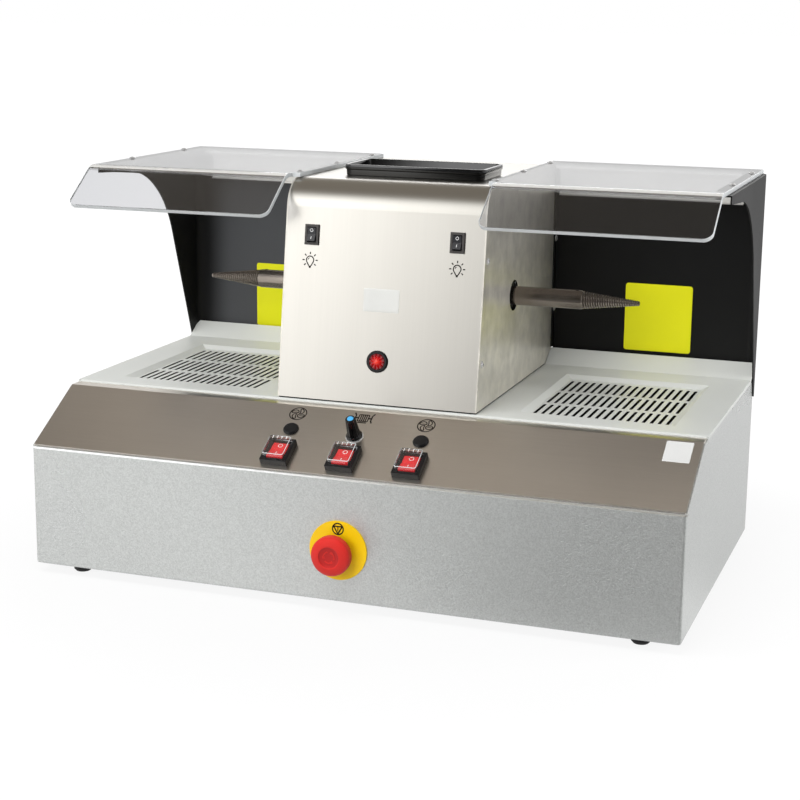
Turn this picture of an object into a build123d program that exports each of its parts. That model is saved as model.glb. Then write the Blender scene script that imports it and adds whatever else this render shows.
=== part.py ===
from build123d import *
import math
import os

# Millimetres. X runs to the right, Y to the back, Z up. While it is being built the machine has
# y = 0 on the cabinet's front wall; it is moved to the middle of its own depth when it is written.

# Cabinet
cabinet_width = 680.0
cabinet_depth = 400.0
cabinet_sheet = 1.5
front_bend = 3.0
rear_bend = 12.0
fold_bend = 3.5
bottom_bend = 2.5
foot_height = 8.8
foot_radius = 10.0
foot_inset_x = 42.0
foot_inset_y = 24.0
bottom_sheet = 1.2
bottom_margin = 5.0
bottom_flange = 40.0
front_wall_height = 125.7
slope_run = 82.7
slope_rise = 47.8
panel_rim = 6.0
panel_lip = 2.6
panel_side_gap = 1.5
fit_gap = 0.2
cable_hole_width = 60.0
cable_hole_length = 30.0
cable_hole_y = 345.0

# Deck tray with its two slotted recesses
tray_sheet = 2.0
tray_lip = 1.5
tray_front = 99.0
tray_rear_gap = 29.0
upstand_run = 24.0
upstand_rise = 15.0
recess_inset = 117.0
recess_width = 158.0
recess_front_margin = 32.0
recess_back_margin = 44.0
recess_depth = 4.0
recess_run = 7.0
recess_clearance = 2.0
slot_width = 3.5
slot_length = 52.0
slot_count = 18
slot_edge = 2.5
slot_front_edge = 1.0
slot_row_gap = 8.0
slot_rows = 3

# Motor housing
housing_half = 107.5
housing_sheet = 1.5
housing_front = 100.7
housing_lean = 7.8
housing_height = 222.0
housing_roll = 32.0
housing_flange = 16.0
seal_height = 1.5
seal_width = 12.0
seal_inset = 1.0
housing_screw_parts = (0.21, 0.67)
housing_screw_inset = 10.0
rear_gap = 1.5
rear_slot_width = 4.0
rear_slot_length = 60.0
rear_slot_pitch = 12.0
rear_slot_count = 11

# Hoods
hood_sheet = 1.5
hood_corner_gap = 1.0
hood_lap = 18.5
hood_inner_flange = 10.0
hood_top_flange = 14.0
cheek_front = 158.0
cheek_bar = 8.5
cheek_knee_y = 303.3
cheek_knee_drop = 18.2
cheek_tip_width = 15.2
cheek_arc = 115.0
cheek_tip_round = 6.0

# Shields
shield_sheet = 4.5
shield_overlap = 6.0
shield_edge = 3.0
shield_fold = 131.5
shield_tab = 16.0
visor_run = 51.5
visor_drop = 37.0
visor_step = 8.5
shield_bend = 20.0
visor_corner = 10.0
shield_screw_inset = 4.0
shield_screw_outer = 8.0

# Light bars
light_inner_gap = 3.0
light_outer_gap = 22.0
light_depth = 27.0
light_drop = 33.0
light_sheet = 1.5
light_lip = 7.0
diffuser_sheet = 2.0
diffuser_bend = 17.0

# Motor and spindles
spindle_y = 230.0
spindle_rise = 101.0
spindle_radius = 10.0
spindle_gap = 8.0
spindle_neck = 9.5
shank_gap = 2.5
taper_start = 182.0
taper_end = 242.0
taper_root = 9.4
taper_tip = 2.5
spindle_hole_gap = 6.0
shaft_radius = 7.5
shaft_half = 150.0
running_gap = 0.05
rotor_radius = 33.0
rotor_half = 40.0
air_gap = 0.6
casing_radius = 62.0
casing_wall = 5.0
casing_half = 58.0
bearing_radius = 17.5
bearing_width = 11.0
bell_depth = 27.0
bell_cap = 3.0
bell_rim = 8.0
motor_foot = 66.0
stand_sheet = 3.0
stand_width = 116.0
stand_foot = 24.0
stand_half = 55.0

# Fans and filters
fan_inset = 120.0
fan_z = 95.0
fan_size = 119.0
fan_depth = 38.0
fan_wall = 2.0
fan_bolt = 52.5
fan_arm = 6.0
fan_arm_depth = 4.0
fan_boss_radius = 22.0
fan_boss_depth = 14.0
fan_shaft_radius = 3.0
hub_radius = 25.0
hub_gap = 1.0
blade_count = 7
blade_gap = 5.0
blade_sheet = 2.0
vent_margin = 3.5
vent_slot = 6.0
vent_pitch = 12.0
vent_count = 9
filter_wall = 1.5
filter_depth = 22.0
filter_margin = 7.0
filter_ledge = 10.0
pad_depth = 14.0
pad_gap = 0.5

# Large rocker switches and the speed knob, placed up the slope from its front edge
switch_group_x = -2.5
switch_pitch = 69.0
switch_u = 24.0
collar_edge = 1.5
collar_height = 6.5
switch_side_wall = 3.8
switch_end_wall = 2.8
switch_body_depth = 20.0
cover_margin = 2.6
cover_wall = 1.0
cover_height = 6.5
rocker_width = 17.0
rocker_reach = 11.3
rocker_crown = 3.2
rocker_pivot = 1.0
rocker_tilt = 10.0
rocker_gap = 0.4
pin_radius = 1.5
pin_reach = 1.4
plug_u = 60.0
plug_radius = 8.0
plug_neck = 5.6
plug_depth = 6.0
plug_edge = 1.2
plug_height = 3.0
knob_u = 58.0
knob_lift = 1.2
knob_skirt = 8.25
knob_skirt_height = 2.0
knob_waist = 6.6
knob_waist_height = 6.0
knob_top = 5.1
knob_height = 24.6
knob_roof = 2.0
knob_cap_radius = 3.2
knob_cap_depth = 1.2
knob_cap_dome = 0.9
pot_radius = 8.5
pot_depth = 10.0
pot_shaft = 3.0
bush_radius = 4.0
bush_height = 5.0
washer_radius = 9.0
washer_sheet = 0.8
nut_flats = 10.0
nut_height = 2.0
nut_gap = 0.5

# Small rocker switches and the lamp, placed up the leaning front of the housing
light_switch_inset = 29.5
light_switch_v = 168.0
bezel_edge = 1.1
bezel_height = 2.0
small_side_wall = 1.5
small_end_wall = 1.6
small_body_depth = 18.0
small_rocker_width = 9.0
small_rocker_reach = 7.4
small_rocker_crown = 1.5
small_rocker_pivot = 0.6
small_rocker_tilt = 9.0
small_pin_radius = 1.0
small_pin_reach = 1.0
lamp_v = 43.5
lamp_radius = 11.3
lamp_barrel = 8.0
lamp_depth = 25.0
lamp_height = 2.0
lamp_seat = 0.5
lens_height = 2.6
lens_radius = 8.3

# Emergency stop, on the front wall
stop_z = 63.3
stop_plate_radius = 30.0
stop_plate_sheet = 1.5
stop_barrel = 11.0
stop_stem_radius = 6.0
stop_head_radius = 20.0
stop_head_low = 13.5
stop_head_seat = 22.0
stop_head_edge = 1.5
stop_dish = 1.8
stop_collar_height = 7.0
stop_collar_edge = 1.5
stop_ring_edge = 5.0
stop_ring_depth = 6.0
stop_barrel_depth = 30.0
stop_bore_depth = 24.0
stop_stem_depth = 18.0
stop_block_width = 32.0
stop_block_length = 40.0
stop_block_depth = 34.0
stop_reach = 30.0

# Cable gland, tool tray and screws
gland_z = 40.0
gland_flats = 22.0
gland_reach = 18.0
gland_barrel = 7.9
gland_depth = 12.0
gland_nut = 6.0
gland_dome = 9.5
tool_x = 8.0
tool_y = 224.0
tool_width = 154.0
tool_length = 76.0
tool_height = 11.5
tool_wall = 2.5
tool_round = 8.0
screw_head = 3.5
screw_height = 2.4
screw_inset = 20.0

# Speed controller board
controller_y = 210.0
board_width = 110.0
board_length = 80.0
board_sheet = 1.6
post_size = 7.0
post_height = 6.0
sink_width = 60.0
sink_height = 32.0
fin_count = 6
fin_sheet = 2.0
fin_depth = 12.0
capacitor_radius = 10.0
capacitor_height = 28.0
relay_width = 28.0
relay_length = 20.0
relay_height = 18.0

# Values that follow from those above
half_width = cabinet_width / 2
base_bottom = foot_height + bottom_sheet
front_top = base_bottom + front_wall_height
deck_top = front_top + slope_rise
tray_top = deck_top + tray_lip + tray_sheet
spindle_z = tray_top + spindle_rise
fan_x = half_width - fan_inset
housing_bottom = tray_top + seal_height
housing_top = housing_bottom + housing_height
slope_angle = math.atan2(slope_rise, slope_run)
slope_length = math.hypot(slope_run, slope_rise)
lean = math.radians(housing_lean)
housing_front_top = housing_front + housing_height * math.tan(lean)
shield_top = housing_top + shield_sheet
shield_inner = housing_half - shield_overlap
hood_bend = rear_bend - hood_corner_gap
hood_bottom = deck_top - hood_lap
tray_back = cabinet_depth - tray_rear_gap
light_switch_x = housing_half - light_switch_inset
recess_x = half_width - recess_inset
recess_front = tray_front + recess_front_margin
recess_length = tray_back - recess_back_margin - recess_front
recess_y = recess_front + recess_length / 2
slot_pitch = (recess_width - 2 * recess_run - 2 * slot_edge - slot_width) / (slot_count - 1)
light_inner = housing_half + hood_sheet + light_inner_gap
light_outer = half_width - light_outer_gap
bell_seat = casing_half + bell_depth
spindle_start = bell_seat + bell_cap + spindle_gap
spindle_hole_radius = spindle_radius + spindle_hole_gap
shank_start = housing_half + shank_gap
duct_radius = fan_size / 2 - fan_wall
hub_depth = fan_depth - fan_boss_depth - 4 * hub_gap
switch_body_width = rocker_width + 2 * (rocker_gap + switch_side_wall)
switch_body_length = 2 * (rocker_reach + rocker_gap + switch_end_wall)
collar_width = switch_body_width + 2 * collar_edge
collar_length = switch_body_length + 2 * collar_edge
small_body_width = small_rocker_width + 2 * (rocker_gap + small_side_wall)
small_body_length = 2 * (small_rocker_reach + rocker_gap + small_end_wall)
bezel_width = small_body_width + 2 * bezel_edge
bezel_length = small_body_length + 2 * bezel_edge
rear_most = cabinet_depth + gland_reach
front_most = -stop_reach
centre_y = (rear_most + front_most) / 2

panel_plane = Plane(
    origin=(0, -cabinet_sheet * math.sin(slope_angle), front_top + cabinet_sheet * math.cos(slope_angle)),
    x_dir=(1, 0, 0),
    z_dir=(0, -math.sin(slope_angle), math.cos(slope_angle)),
)
front_plane = Plane(
    origin=(0, housing_front, housing_bottom),
    x_dir=(1, 0, 0),
    z_dir=(0, -math.cos(lean), math.sin(lean)),
)
stop_plane = Plane(origin=(0, 0, stop_z), x_dir=(1, 0, 0), z_dir=(0, -1, 0))
gland_plane = Plane(origin=(0, cabinet_depth, gland_z), x_dir=(-1, 0, 0), z_dir=(0, 1, 0))
shaft_plane = Plane(origin=(0, spindle_y, spindle_z), x_dir=(0, 1, 0), z_dir=(1, 0, 0))


def unit(start, end):
    """Direction from start to end."""
    length = math.dist(start, end)
    return ((end[0] - start[0]) / length, (end[1] - start[1]) / length)


def offset_line(points, distance):
    """Move an open line to its left by distance, with mitred corners."""
    moved = []
    last = len(points) - 1
    for i, here in enumerate(points):
        first = unit(points[i - 1], here) if i > 0 else unit(here, points[i + 1])
        second = unit(here, points[i + 1]) if i < last else first
        across = (-first[1] - second[1], first[0] + second[0])
        scale = distance / (1 + first[0] * second[0] + first[1] * second[1])
        moved.append((here[0] + scale * across[0], here[1] + scale * across[1]))
    return moved


def polygon(points):
    """Face inside a closed line."""
    return make_face(Polyline(*points, close=True))


def bent_sheet(points, thickness, bends):
    """Section of a bent sheet: the line thickened to its left, each corner with its inside radius."""
    far_points = offset_line(points, thickness)
    near = []
    far = []
    for i, bend in enumerate(bends):
        first = unit(points[i], points[i + 1])
        second = unit(points[i + 1], points[i + 2])
        turns_left = first[0] * second[1] - first[1] * second[0] > 0
        near.append(bend + thickness if turns_left else bend)
        far.append(bend if turns_left else bend + thickness)
    lines = [FilletPolyline(*points, radius=near), FilletPolyline(*far_points, radius=far)]
    lines.append(Line(points[0], far_points[0]))
    lines.append(Line(points[-1], far_points[-1]))
    return make_face([edge for line in lines for edge in line.edges()])


def along_x(face, x_from, x_to):
    """Stand a face drawn in Y and Z upright and extrude it along X."""
    return Pos(x_from, 0, 0) * extrude(Plane.YZ * face, x_to - x_from, dir=(1, 0, 0))


def upright(face, low, high):
    """Extrude a face drawn in X and Y from one height to another."""
    return Pos(0, 0, low) * extrude(face, high - low, dir=(0, 0, 1))


def block(x_from, x_to, y_from, y_to, z_from, z_to):
    """Box between two corners."""
    middle = Pos((x_from + x_to) / 2, (y_from + y_to) / 2, (z_from + z_to) / 2)
    return middle * Box(x_to - x_from, y_to - y_from, z_to - z_from)


def centred(width, length, low, high):
    """Box about the local Z axis between two heights."""
    return block(-width / 2, width / 2, -length / 2, length / 2, low, high)


def slot_cut(width, length, low, high):
    """Prism with round ends, long in local Y, between two heights."""
    return upright(SlotOverall(length, width, rotation=90), low, high)


def disc(radius, low, high):
    """Cylinder about the local Z axis between two heights."""
    return Pos(0, 0, (low + high) / 2) * Cylinder(radius, high - low)


def turned(points):
    """Solid of revolution about the local Z axis from (radius, height) points."""
    return revolve(Plane.XZ * polygon(points), Axis.Z)


def hexagon(flats, low, high):
    """Hexagonal prism about the local Z axis."""
    return upright(RegularPolygon(flats / 2, 6, major_radius=False), low, high)


def both_sides(right):
    """The left-hand twin of a right-hand piece."""
    return mirror(right, about=Plane.YZ)


def on_panel(x, u):
    """Place on the control panel, u up the slope."""
    return panel_plane.location * Pos(x, u, 0)


def on_front(x, v):
    """Place on the housing's leaning front, v up the sheet."""
    return front_plane.location * Pos(x, v, 0)


def fan_place(side):
    """Place of a fan on the inside of the back wall, its axis pointing into the cabinet."""
    wall = cabinet_depth - cabinet_sheet
    return Plane(origin=(side * fan_x, wall, fan_z), x_dir=(1, 0, 0), z_dir=(0, -1, 0)).location


def cabinet_plan(inset, low, high):
    """Prism over the cabinet's outline moved in by inset, its upright corners rounded."""
    half = half_width - inset
    back = cabinet_depth - inset
    corners = [(-half, inset), (half, inset), (half, back), (-half, back)]
    bends = [front_bend - inset, front_bend - inset, rear_bend - inset, rear_bend - inset]
    return upright(make_face(FilletPolyline(*corners, radius=bends, close=True)), low, high)


def vent_slots():
    """Upright slots that fill a circle, for the fan outlets."""
    slots = []
    for i in range(vent_count):
        x = (i - (vent_count - 1) / 2) * vent_pitch
        reach = math.sqrt((duct_radius - vent_margin) ** 2 - x**2)
        slots.append(Pos(x, 0, 0) * slot_cut(vent_slot, 2 * reach, -2 * cabinet_sheet, cabinet_sheet))
    return slots


def make_base_shell():
    """Cabinet: front wall, slope, deck, sides and back folded from one sheet, open below."""
    outline = [
        (0, base_bottom),
        (0, front_top),
        (slope_run, deck_top),
        (cabinet_depth, deck_top),
        (cabinet_depth, base_bottom),
    ]
    bends = [0, fold_bend, 0, 0, 0]
    folded = make_face(FilletPolyline(*outline, radius=bends, close=True))
    outer = along_x(folded, -half_width, half_width)
    outer = outer & cabinet_plan(0, base_bottom, deck_top)
    outer = fillet(outer.faces().sort_by(Axis.Z)[0].edges(), bottom_bend)
    lining = offset_line(outline, -cabinet_sheet)
    inner_half = half_width - cabinet_sheet
    inner = along_x(polygon(lining), -inner_half, inner_half)
    inner = inner & cabinet_plan(cabinet_sheet, base_bottom, deck_top)
    shell = outer - inner
    rim = cabinet_plan(0, base_bottom, base_bottom + cabinet_sheet)
    rim = rim - block(
        bottom_flange - half_width,
        half_width - bottom_flange,
        bottom_flange,
        cabinet_depth - bottom_flange,
        base_bottom - 1,
        base_bottom + cabinet_sheet + 1,
    )
    shell = shell + (rim & outer)
    window_half = half_width - panel_rim
    window = block(-window_half, window_half, panel_rim, slope_length - panel_rim, -4 * cabinet_sheet, 1)
    shell = shell - panel_plane.location * window
    for side in (-1, 1):
        shell = shell - Pos(side * recess_x, recess_y, deck_top) * centred(
            recess_width + 2 * recess_clearance,
            recess_length + 2 * recess_clearance,
            -2 * cabinet_sheet,
            1,
        )
        for slot in vent_slots():
            shell = shell - fan_place(side) * slot
    shell = shell - Pos(0, cable_hole_y, deck_top) * centred(
        cable_hole_width, cable_hole_length, -2 * cabinet_sheet, 1
    )
    shell = shell - stop_plane.location * disc(stop_barrel + fit_gap, -2 * cabinet_sheet, 1)
    shell = shell - gland_plane.location * disc(gland_barrel + fit_gap, -2 * cabinet_sheet, 1)
    return shell


def make_base_plate():
    """Bottom cover, screwed under the shell's flanges."""
    return cabinet_plan(0, foot_height, base_bottom) & block(
        bottom_margin - half_width,
        half_width - bottom_margin,
        bottom_margin,
        cabinet_depth - bottom_margin,
        foot_height,
        base_bottom,
    )


def make_rubber_feet():
    """Four moulded feet with a rounded lower rim."""
    foot = turned(
        [
            (0, 0),
            (0.75 * foot_radius, 0),
            (0.95 * foot_radius, 0.25 * foot_height),
            (foot_radius, foot_height),
            (0, foot_height),
        ]
    )
    x = half_width - foot_inset_x
    rows = (foot_inset_y, cabinet_depth - foot_inset_y)
    return [Pos(side * x, y, 0) * foot for side in (-1, 1) for y in rows]


def make_control_panel():
    """Sloped sheet and its flange, with the holes of everything it carries. It starts a lip's
    width above the cabinet's front fold."""
    start = (panel_lip * math.cos(slope_angle), front_top + panel_lip * math.sin(slope_angle))
    points = [start, (slope_run, deck_top), (tray_front - fit_gap, deck_top)]
    half = half_width - panel_side_gap
    panel = along_x(bent_sheet(points, cabinet_sheet, [0.0]), -half, half)
    through = (-3 * cabinet_sheet, cabinet_sheet)
    for i in (-1, 0, 1):
        x = switch_group_x + i * switch_pitch
        opening = centred(switch_body_width + 2 * fit_gap, switch_body_length + 2 * fit_gap, *through)
        panel = panel - on_panel(x, switch_u) * opening
        upper = disc(plug_neck + fit_gap, *through) if i else disc(bush_radius + fit_gap, *through)
        panel = panel - on_panel(x, plug_u if i else knob_u) * upper
    return panel


def tapered_block(width, length, run, top, depth):
    """Block that narrows downward by run on every side over its depth."""
    upper = Pos(0, 0, top) * Rectangle(width, length)
    lower = Pos(0, 0, top - depth) * Rectangle(width - 2 * run, length - 2 * run)
    return loft([lower, upper])


def make_deck_tray():
    """Work deck in one sheet: lips, rear upstand and two recesses with rows of suction slots."""
    points = [
        (tray_back + upstand_run, tray_top + upstand_rise),
        (tray_back, tray_top),
        (tray_front, tray_top),
        (tray_front, deck_top),
    ]
    tray = along_x(bent_sheet(points, tray_sheet, [2.0, 0.5]), -half_width, half_width)
    for side in (-1, 1):
        edges = sorted((side * half_width, side * (half_width - tray_sheet)))
        tray = tray + block(*edges, tray_front, tray_back, deck_top, tray_top)
    wall_angle = math.atan2(recess_depth, recess_run)
    grow = tray_sheet * math.tan(wall_angle / 2)
    under = tray_top - tray_sheet
    for side in (-1, 1):
        place = Pos(side * recess_x, recess_y, 0)
        width = recess_width + 2 * grow
        length = recess_length + 2 * grow
        pan = tapered_block(width, length, recess_run, under, recess_depth)
        pocket = tapered_block(recess_width, recess_length, recess_run, tray_top, recess_depth)
        tray = tray + place * pan
        tray = tray - place * pocket
        floor = tray_top - recess_depth
        for column in range(slot_count):
            x = (column - (slot_count - 1) / 2) * slot_pitch
            for row in range(slot_rows):
                y = recess_run + slot_front_edge + slot_length / 2 + row * (slot_length + slot_row_gap)
                slot = slot_cut(slot_width, slot_length, floor - tray_sheet - 1, floor + 1)
                tray = tray - Pos(side * recess_x + x, recess_front + y, 0) * slot
    hole = centred(cable_hole_width, cable_hole_length, under - 1, tray_top + 1)
    tray = tray - Pos(0, cable_hole_y, 0) * hole
    return tray & cabinet_plan(0, deck_top - 10, tray_top + upstand_rise + 1)


def housing_side_outline():
    """Outline of a housing side plate, cut away above the tray's upstand."""
    lean_run = upstand_run + rear_gap
    return [
        (housing_front, housing_bottom),
        (housing_front_top, housing_top),
        (cabinet_depth, housing_top),
        (cabinet_depth, tray_top + upstand_rise + rear_gap),
        (tray_back + lean_run - rear_gap, tray_top + upstand_rise + rear_gap),
        (tray_back - rear_gap, housing_bottom),
    ]


def make_housing_side_right():
    """Side plate with the spindle hole and an inward foot flange."""
    radii = [0, housing_roll, 0, 0, 0, 0]
    outline = FilletPolyline(*housing_side_outline(), radius=radii, close=True)
    plate = along_x(make_face(outline), housing_half - housing_sheet, housing_half)
    foot = block(
        housing_half - seal_width,
        housing_half - housing_sheet,
        housing_front + 2 * housing_flange,
        tray_back - 2 * housing_flange,
        housing_bottom,
        housing_bottom + housing_sheet,
    )
    plate = plate + foot
    hole = disc(spindle_hole_radius, housing_half - 2 * housing_sheet, housing_half + housing_sheet)
    return plate - shaft_plane.location * hole


def make_housing_wrap():
    """Front and top in one sheet with a rolled edge, and a flange along each side."""
    points = [
        (cabinet_depth, housing_top),
        (housing_front_top, housing_top),
        (housing_front, housing_bottom),
    ]
    half = housing_half - housing_sheet
    roll = housing_roll - housing_sheet
    wrap = along_x(bent_sheet(points, housing_sheet, [roll]), -half, half)
    band = bent_sheet(points, housing_flange, [housing_roll - housing_flange])
    for side in (-1, 1):
        edges = sorted((side * half, side * (half - housing_sheet)))
        wrap = wrap + along_x(band, *edges)
    back = cabinet_depth - housing_sheet
    wrap = wrap - block(-half, half, back, cabinet_depth + 1, 0, housing_top - housing_sheet)
    wrap = wrap - block(-half, half, 0, cabinet_depth, 0, housing_bottom)
    for side in (-1, 1):
        hole = centred(small_body_width + 2 * fit_gap, small_body_length + 2 * fit_gap, -3, 3)
        wrap = wrap - on_front(side * light_switch_x, light_switch_v) * hole
    return wrap - on_front(0, lamp_v) * disc(lamp_barrel + fit_gap, -3, 3)


def make_housing_rear_cover():
    """Back of the motor housing with cooling slots."""
    half = housing_half - housing_sheet
    low = tray_top + upstand_rise + rear_gap
    high = housing_top - housing_sheet
    cover = block(-half, half, cabinet_depth - housing_sheet, cabinet_depth, low, high)
    wall = Plane(origin=(0, cabinet_depth, spindle_z), x_dir=(1, 0, 0), z_dir=(0, -1, 0))
    slot = slot_cut(rear_slot_width, rear_slot_length, -housing_sheet, 2 * housing_sheet)
    for i in range(rear_slot_count):
        x = (i - (rear_slot_count - 1) / 2) * rear_slot_pitch
        cover = cover - wall.location * Pos(x, 0, 0) * slot
    return cover


def make_housing_seal():
    """Dark strip between the housing and the deck, along the front and both sides."""
    back = tray_back - rear_gap
    half = housing_half - seal_inset
    strip = block(-half, half, housing_front + seal_inset, back, tray_top, housing_bottom)
    inside = housing_half - seal_width
    front = housing_front + seal_width
    return strip - block(-inside, inside, front, back + 1, tray_top - 1, housing_bottom + 1)


def make_hood_right():
    """Hood from one sheet: flange on the housing, back panel, bend, cheek, and a top flange."""
    inner = housing_half + hood_sheet
    plan = [
        (inner, cabinet_depth - hood_inner_flange),
        (inner, cabinet_depth),
        (half_width, cabinet_depth),
        (half_width, cheek_front),
    ]
    wall = upright(bent_sheet(plan, hood_sheet, [1.0, hood_bend]), hood_bottom, housing_top)
    back = cabinet_depth + hood_sheet
    profile = [
        (cheek_front, housing_top),
        (cheek_front, housing_top - cheek_bar),
        (cheek_knee_y, housing_top - cheek_knee_drop),
        (back - cheek_tip_width, hood_bottom),
        (back, hood_bottom),
        (back, housing_top),
    ]
    outline = FilletPolyline(*profile, radius=[0, 0, cheek_arc, cheek_tip_round, 0, 0], close=True)
    corner = half_width - hood_bend - hood_sheet
    keep = along_x(make_face(outline), corner, half_width + hood_sheet)
    keep_back = block(housing_half, corner, cheek_front, back, hood_bottom, housing_top)
    hood = wall & (keep + keep_back)
    clear = tray_top + upstand_rise + rear_gap
    hood = hood - block(housing_half - 1, inner + 2, cheek_front, cabinet_depth, hood_bottom - 1, clear)
    flange_line = [(half_width, cheek_front), (half_width, cabinet_depth), (inner, cabinet_depth)]
    flange = bent_sheet(flange_line, hood_top_flange, [0.5])
    flange = upright(flange, housing_top - hood_sheet, housing_top)
    corner_plan = upright(
        make_face(
            FilletPolyline(
                (inner, cheek_front),
                (half_width, cheek_front),
                (half_width, cabinet_depth),
                (inner, cabinet_depth),
                radius=[0, 0, hood_bend, 0],
                close=True,
            )
        ),
        housing_top - hood_sheet,
        housing_top,
    )
    return hood + (flange & corner_plan)


def make_shield_right():
    """Clear sheet that laps onto the housing, with a bent visor that stops short of it."""
    points = [
        (cabinet_depth, shield_top),
        (shield_fold, shield_top),
        (shield_fold - visor_run, shield_top - visor_drop),
    ]
    outer = half_width - shield_edge
    sheet = along_x(bent_sheet(points, shield_sheet, [shield_bend]), shield_inner, outer)
    tip = shield_fold - visor_run - shield_sheet
    low = shield_top - visor_drop - 2 * shield_sheet
    visor_inner = shield_inner + visor_step
    step = block(shield_inner - 1, visor_inner, tip, shield_fold + shield_tab, low, shield_top + 1)
    sheet = sheet - step
    corners = []
    for edge in sheet.edges():
        middle = edge.center()
        if middle.Y < shield_fold - visor_run + shield_sheet and edge.length < 1.5 * shield_sheet:
            corners.append(edge)
    return fillet(corners, visor_corner)


def make_light_channel_right():
    """Aluminium channel under the hood's top flange: top plate, back plate and a lower lip."""
    top = housing_top - hood_sheet
    low = top - light_drop
    front = cabinet_depth - light_depth
    upper = block(light_inner, light_outer, front, cabinet_depth, top - light_sheet, top)
    back = block(light_inner, light_outer, cabinet_depth - light_sheet, cabinet_depth, low, top)
    lip = block(light_inner, light_outer, cabinet_depth - light_lip, cabinet_depth, low, low + light_sheet)
    return upper + back + lip


def make_light_diffuser_right():
    """Opal strip bent into a cove, held in the channel."""
    top = housing_top - hood_sheet
    high = top - light_sheet - diffuser_sheet
    back = cabinet_depth - light_sheet - diffuser_sheet
    points = [
        (back, top - light_drop + light_sheet),
        (back, high),
        (cabinet_depth - light_depth, high),
    ]
    section = bent_sheet(points, -diffuser_sheet, [diffuser_bend - diffuser_sheet])
    return along_x(section, light_inner, light_outer)


def make_motor_casing():
    """Motor casing: tube with two foot rails."""
    casing = disc(casing_radius, -casing_half, casing_half)
    for side in (-1, 1):
        edges = sorted((side * 0.5 * casing_radius, side * 0.85 * casing_radius))
        foot_half = 0.8 * casing_half
        casing = casing + block(*edges, -motor_foot, -0.75 * casing_radius, -foot_half, foot_half)
    bore = disc(casing_radius - casing_wall, -casing_half - 1, casing_half + 1)
    return shaft_plane.location * (casing - bore)


def make_motor_stator():
    """Laminated ring inside the casing."""
    ring = disc(casing_radius - casing_wall - running_gap, -rotor_half, rotor_half)
    bore = disc(rotor_radius + air_gap, -rotor_half - 1, rotor_half + 1)
    return shaft_plane.location * (ring - bore)


def make_motor_end_bells():
    """Two dished motor ends, each with the seat of a bearing."""
    seat = bell_seat - bearing_width
    points = [
        (casing_radius, casing_half),
        (casing_radius, casing_half + bell_rim),
        (0.65 * casing_radius, bell_seat - casing_wall),
        (bearing_radius + bell_rim, bell_seat),
        (bearing_radius + bell_rim, bell_seat + bell_cap),
        (shaft_radius + bell_cap / 2, bell_seat + bell_cap),
        (shaft_radius + bell_cap / 2, bell_seat),
        (bearing_radius, bell_seat),
        (bearing_radius, seat),
        (bearing_radius + 1.5 * bell_rim, seat - bell_cap),
        (casing_radius - 2 * casing_wall, casing_half + bell_rim / 2),
        (casing_radius - 2 * casing_wall, casing_half),
    ]
    bell = shaft_plane.location * turned(points)
    return [both_sides(bell), bell]


def make_motor_bearings():
    """Two ball bearings, each drawn as one ring."""
    low = bell_seat - bearing_width
    ring = disc(bearing_radius - running_gap, low, bell_seat)
    ring = ring - disc(shaft_radius + running_gap, low - 1, bell_seat + 1)
    right = shaft_plane.location * ring
    return [both_sides(right), right]


def make_motor_rotor():
    """Rotor core on its double-ended shaft."""
    core = disc(rotor_radius, -rotor_half, rotor_half)
    return shaft_plane.location * (core + disc(shaft_radius, -shaft_half, shaft_half))


def make_spindle_right():
    """Sleeve on the shaft end that runs out into the long taper for the wheels."""
    bore = shaft_radius + running_gap / 2
    points = [
        (bore, spindle_start),
        (spindle_neck, spindle_start),
        (spindle_neck, shank_start),
        (spindle_radius, shank_start),
        (spindle_radius, taper_start),
        (taper_root, taper_start),
        (taper_tip, taper_end - 1),
        (taper_tip - 1, taper_end),
        (0, taper_end),
        (0, shaft_half + fit_gap),
        (bore, shaft_half + fit_gap),
    ]
    return shaft_plane.location * turned(points)


def make_motor_stand():
    """Folded stand that carries the motor above the deck."""
    top = spindle_z - motor_foot
    front = spindle_y - stand_width / 2
    back = spindle_y + stand_width / 2
    points = [
        (back + stand_foot, tray_top + stand_sheet),
        (back, tray_top + stand_sheet),
        (back, top),
        (front, top),
        (front, tray_top + stand_sheet),
        (front - stand_foot, tray_top + stand_sheet),
    ]
    return along_x(bent_sheet(points, stand_sheet, [1.0, 1.0, 1.0, 1.0]), -stand_half, stand_half)


def make_speed_controller():
    """Controller board on four posts with its heat sink, capacitor and relay."""
    board_low = base_bottom + post_height
    board_high = board_low + board_sheet
    board = centred(board_width, board_length, board_low, board_high)
    for side in (-1, 1):
        for end in (-1, 1):
            corner = Pos(side * (board_width - post_size) / 2, end * (board_length - post_size) / 2, 0)
            board = board + corner * centred(post_size, post_size, base_bottom, board_low)
    sink_x = -0.2 * board_width
    sink_y = 0.3 * board_length
    sink_top = board_high + sink_height
    board = board + Pos(sink_x, sink_y, 0) * centred(sink_width, 2 * fin_sheet, board_high, sink_top)
    for i in range(fin_count):
        x = sink_x + (i / (fin_count - 1) - 0.5) * (sink_width - fin_sheet)
        fin = centred(fin_sheet, fin_depth, board_high, sink_top)
        board = board + Pos(x, sink_y - fin_depth / 2, 0) * fin
    capacitor = disc(capacitor_radius, board_high, board_high + capacitor_height)
    board = board + Pos(0.3 * board_width, 0.22 * board_length, 0) * capacitor
    relay = centred(relay_width, relay_length, board_high, board_high + relay_height)
    board = board + Pos(0.28 * board_width, -0.25 * board_length, 0) * relay
    return Pos(0, controller_y, 0) * board


def filter_size():
    """Outer width and length of a filter frame."""
    margin = 2 * (recess_clearance + filter_margin)
    return recess_width + margin, recess_length + margin


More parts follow.
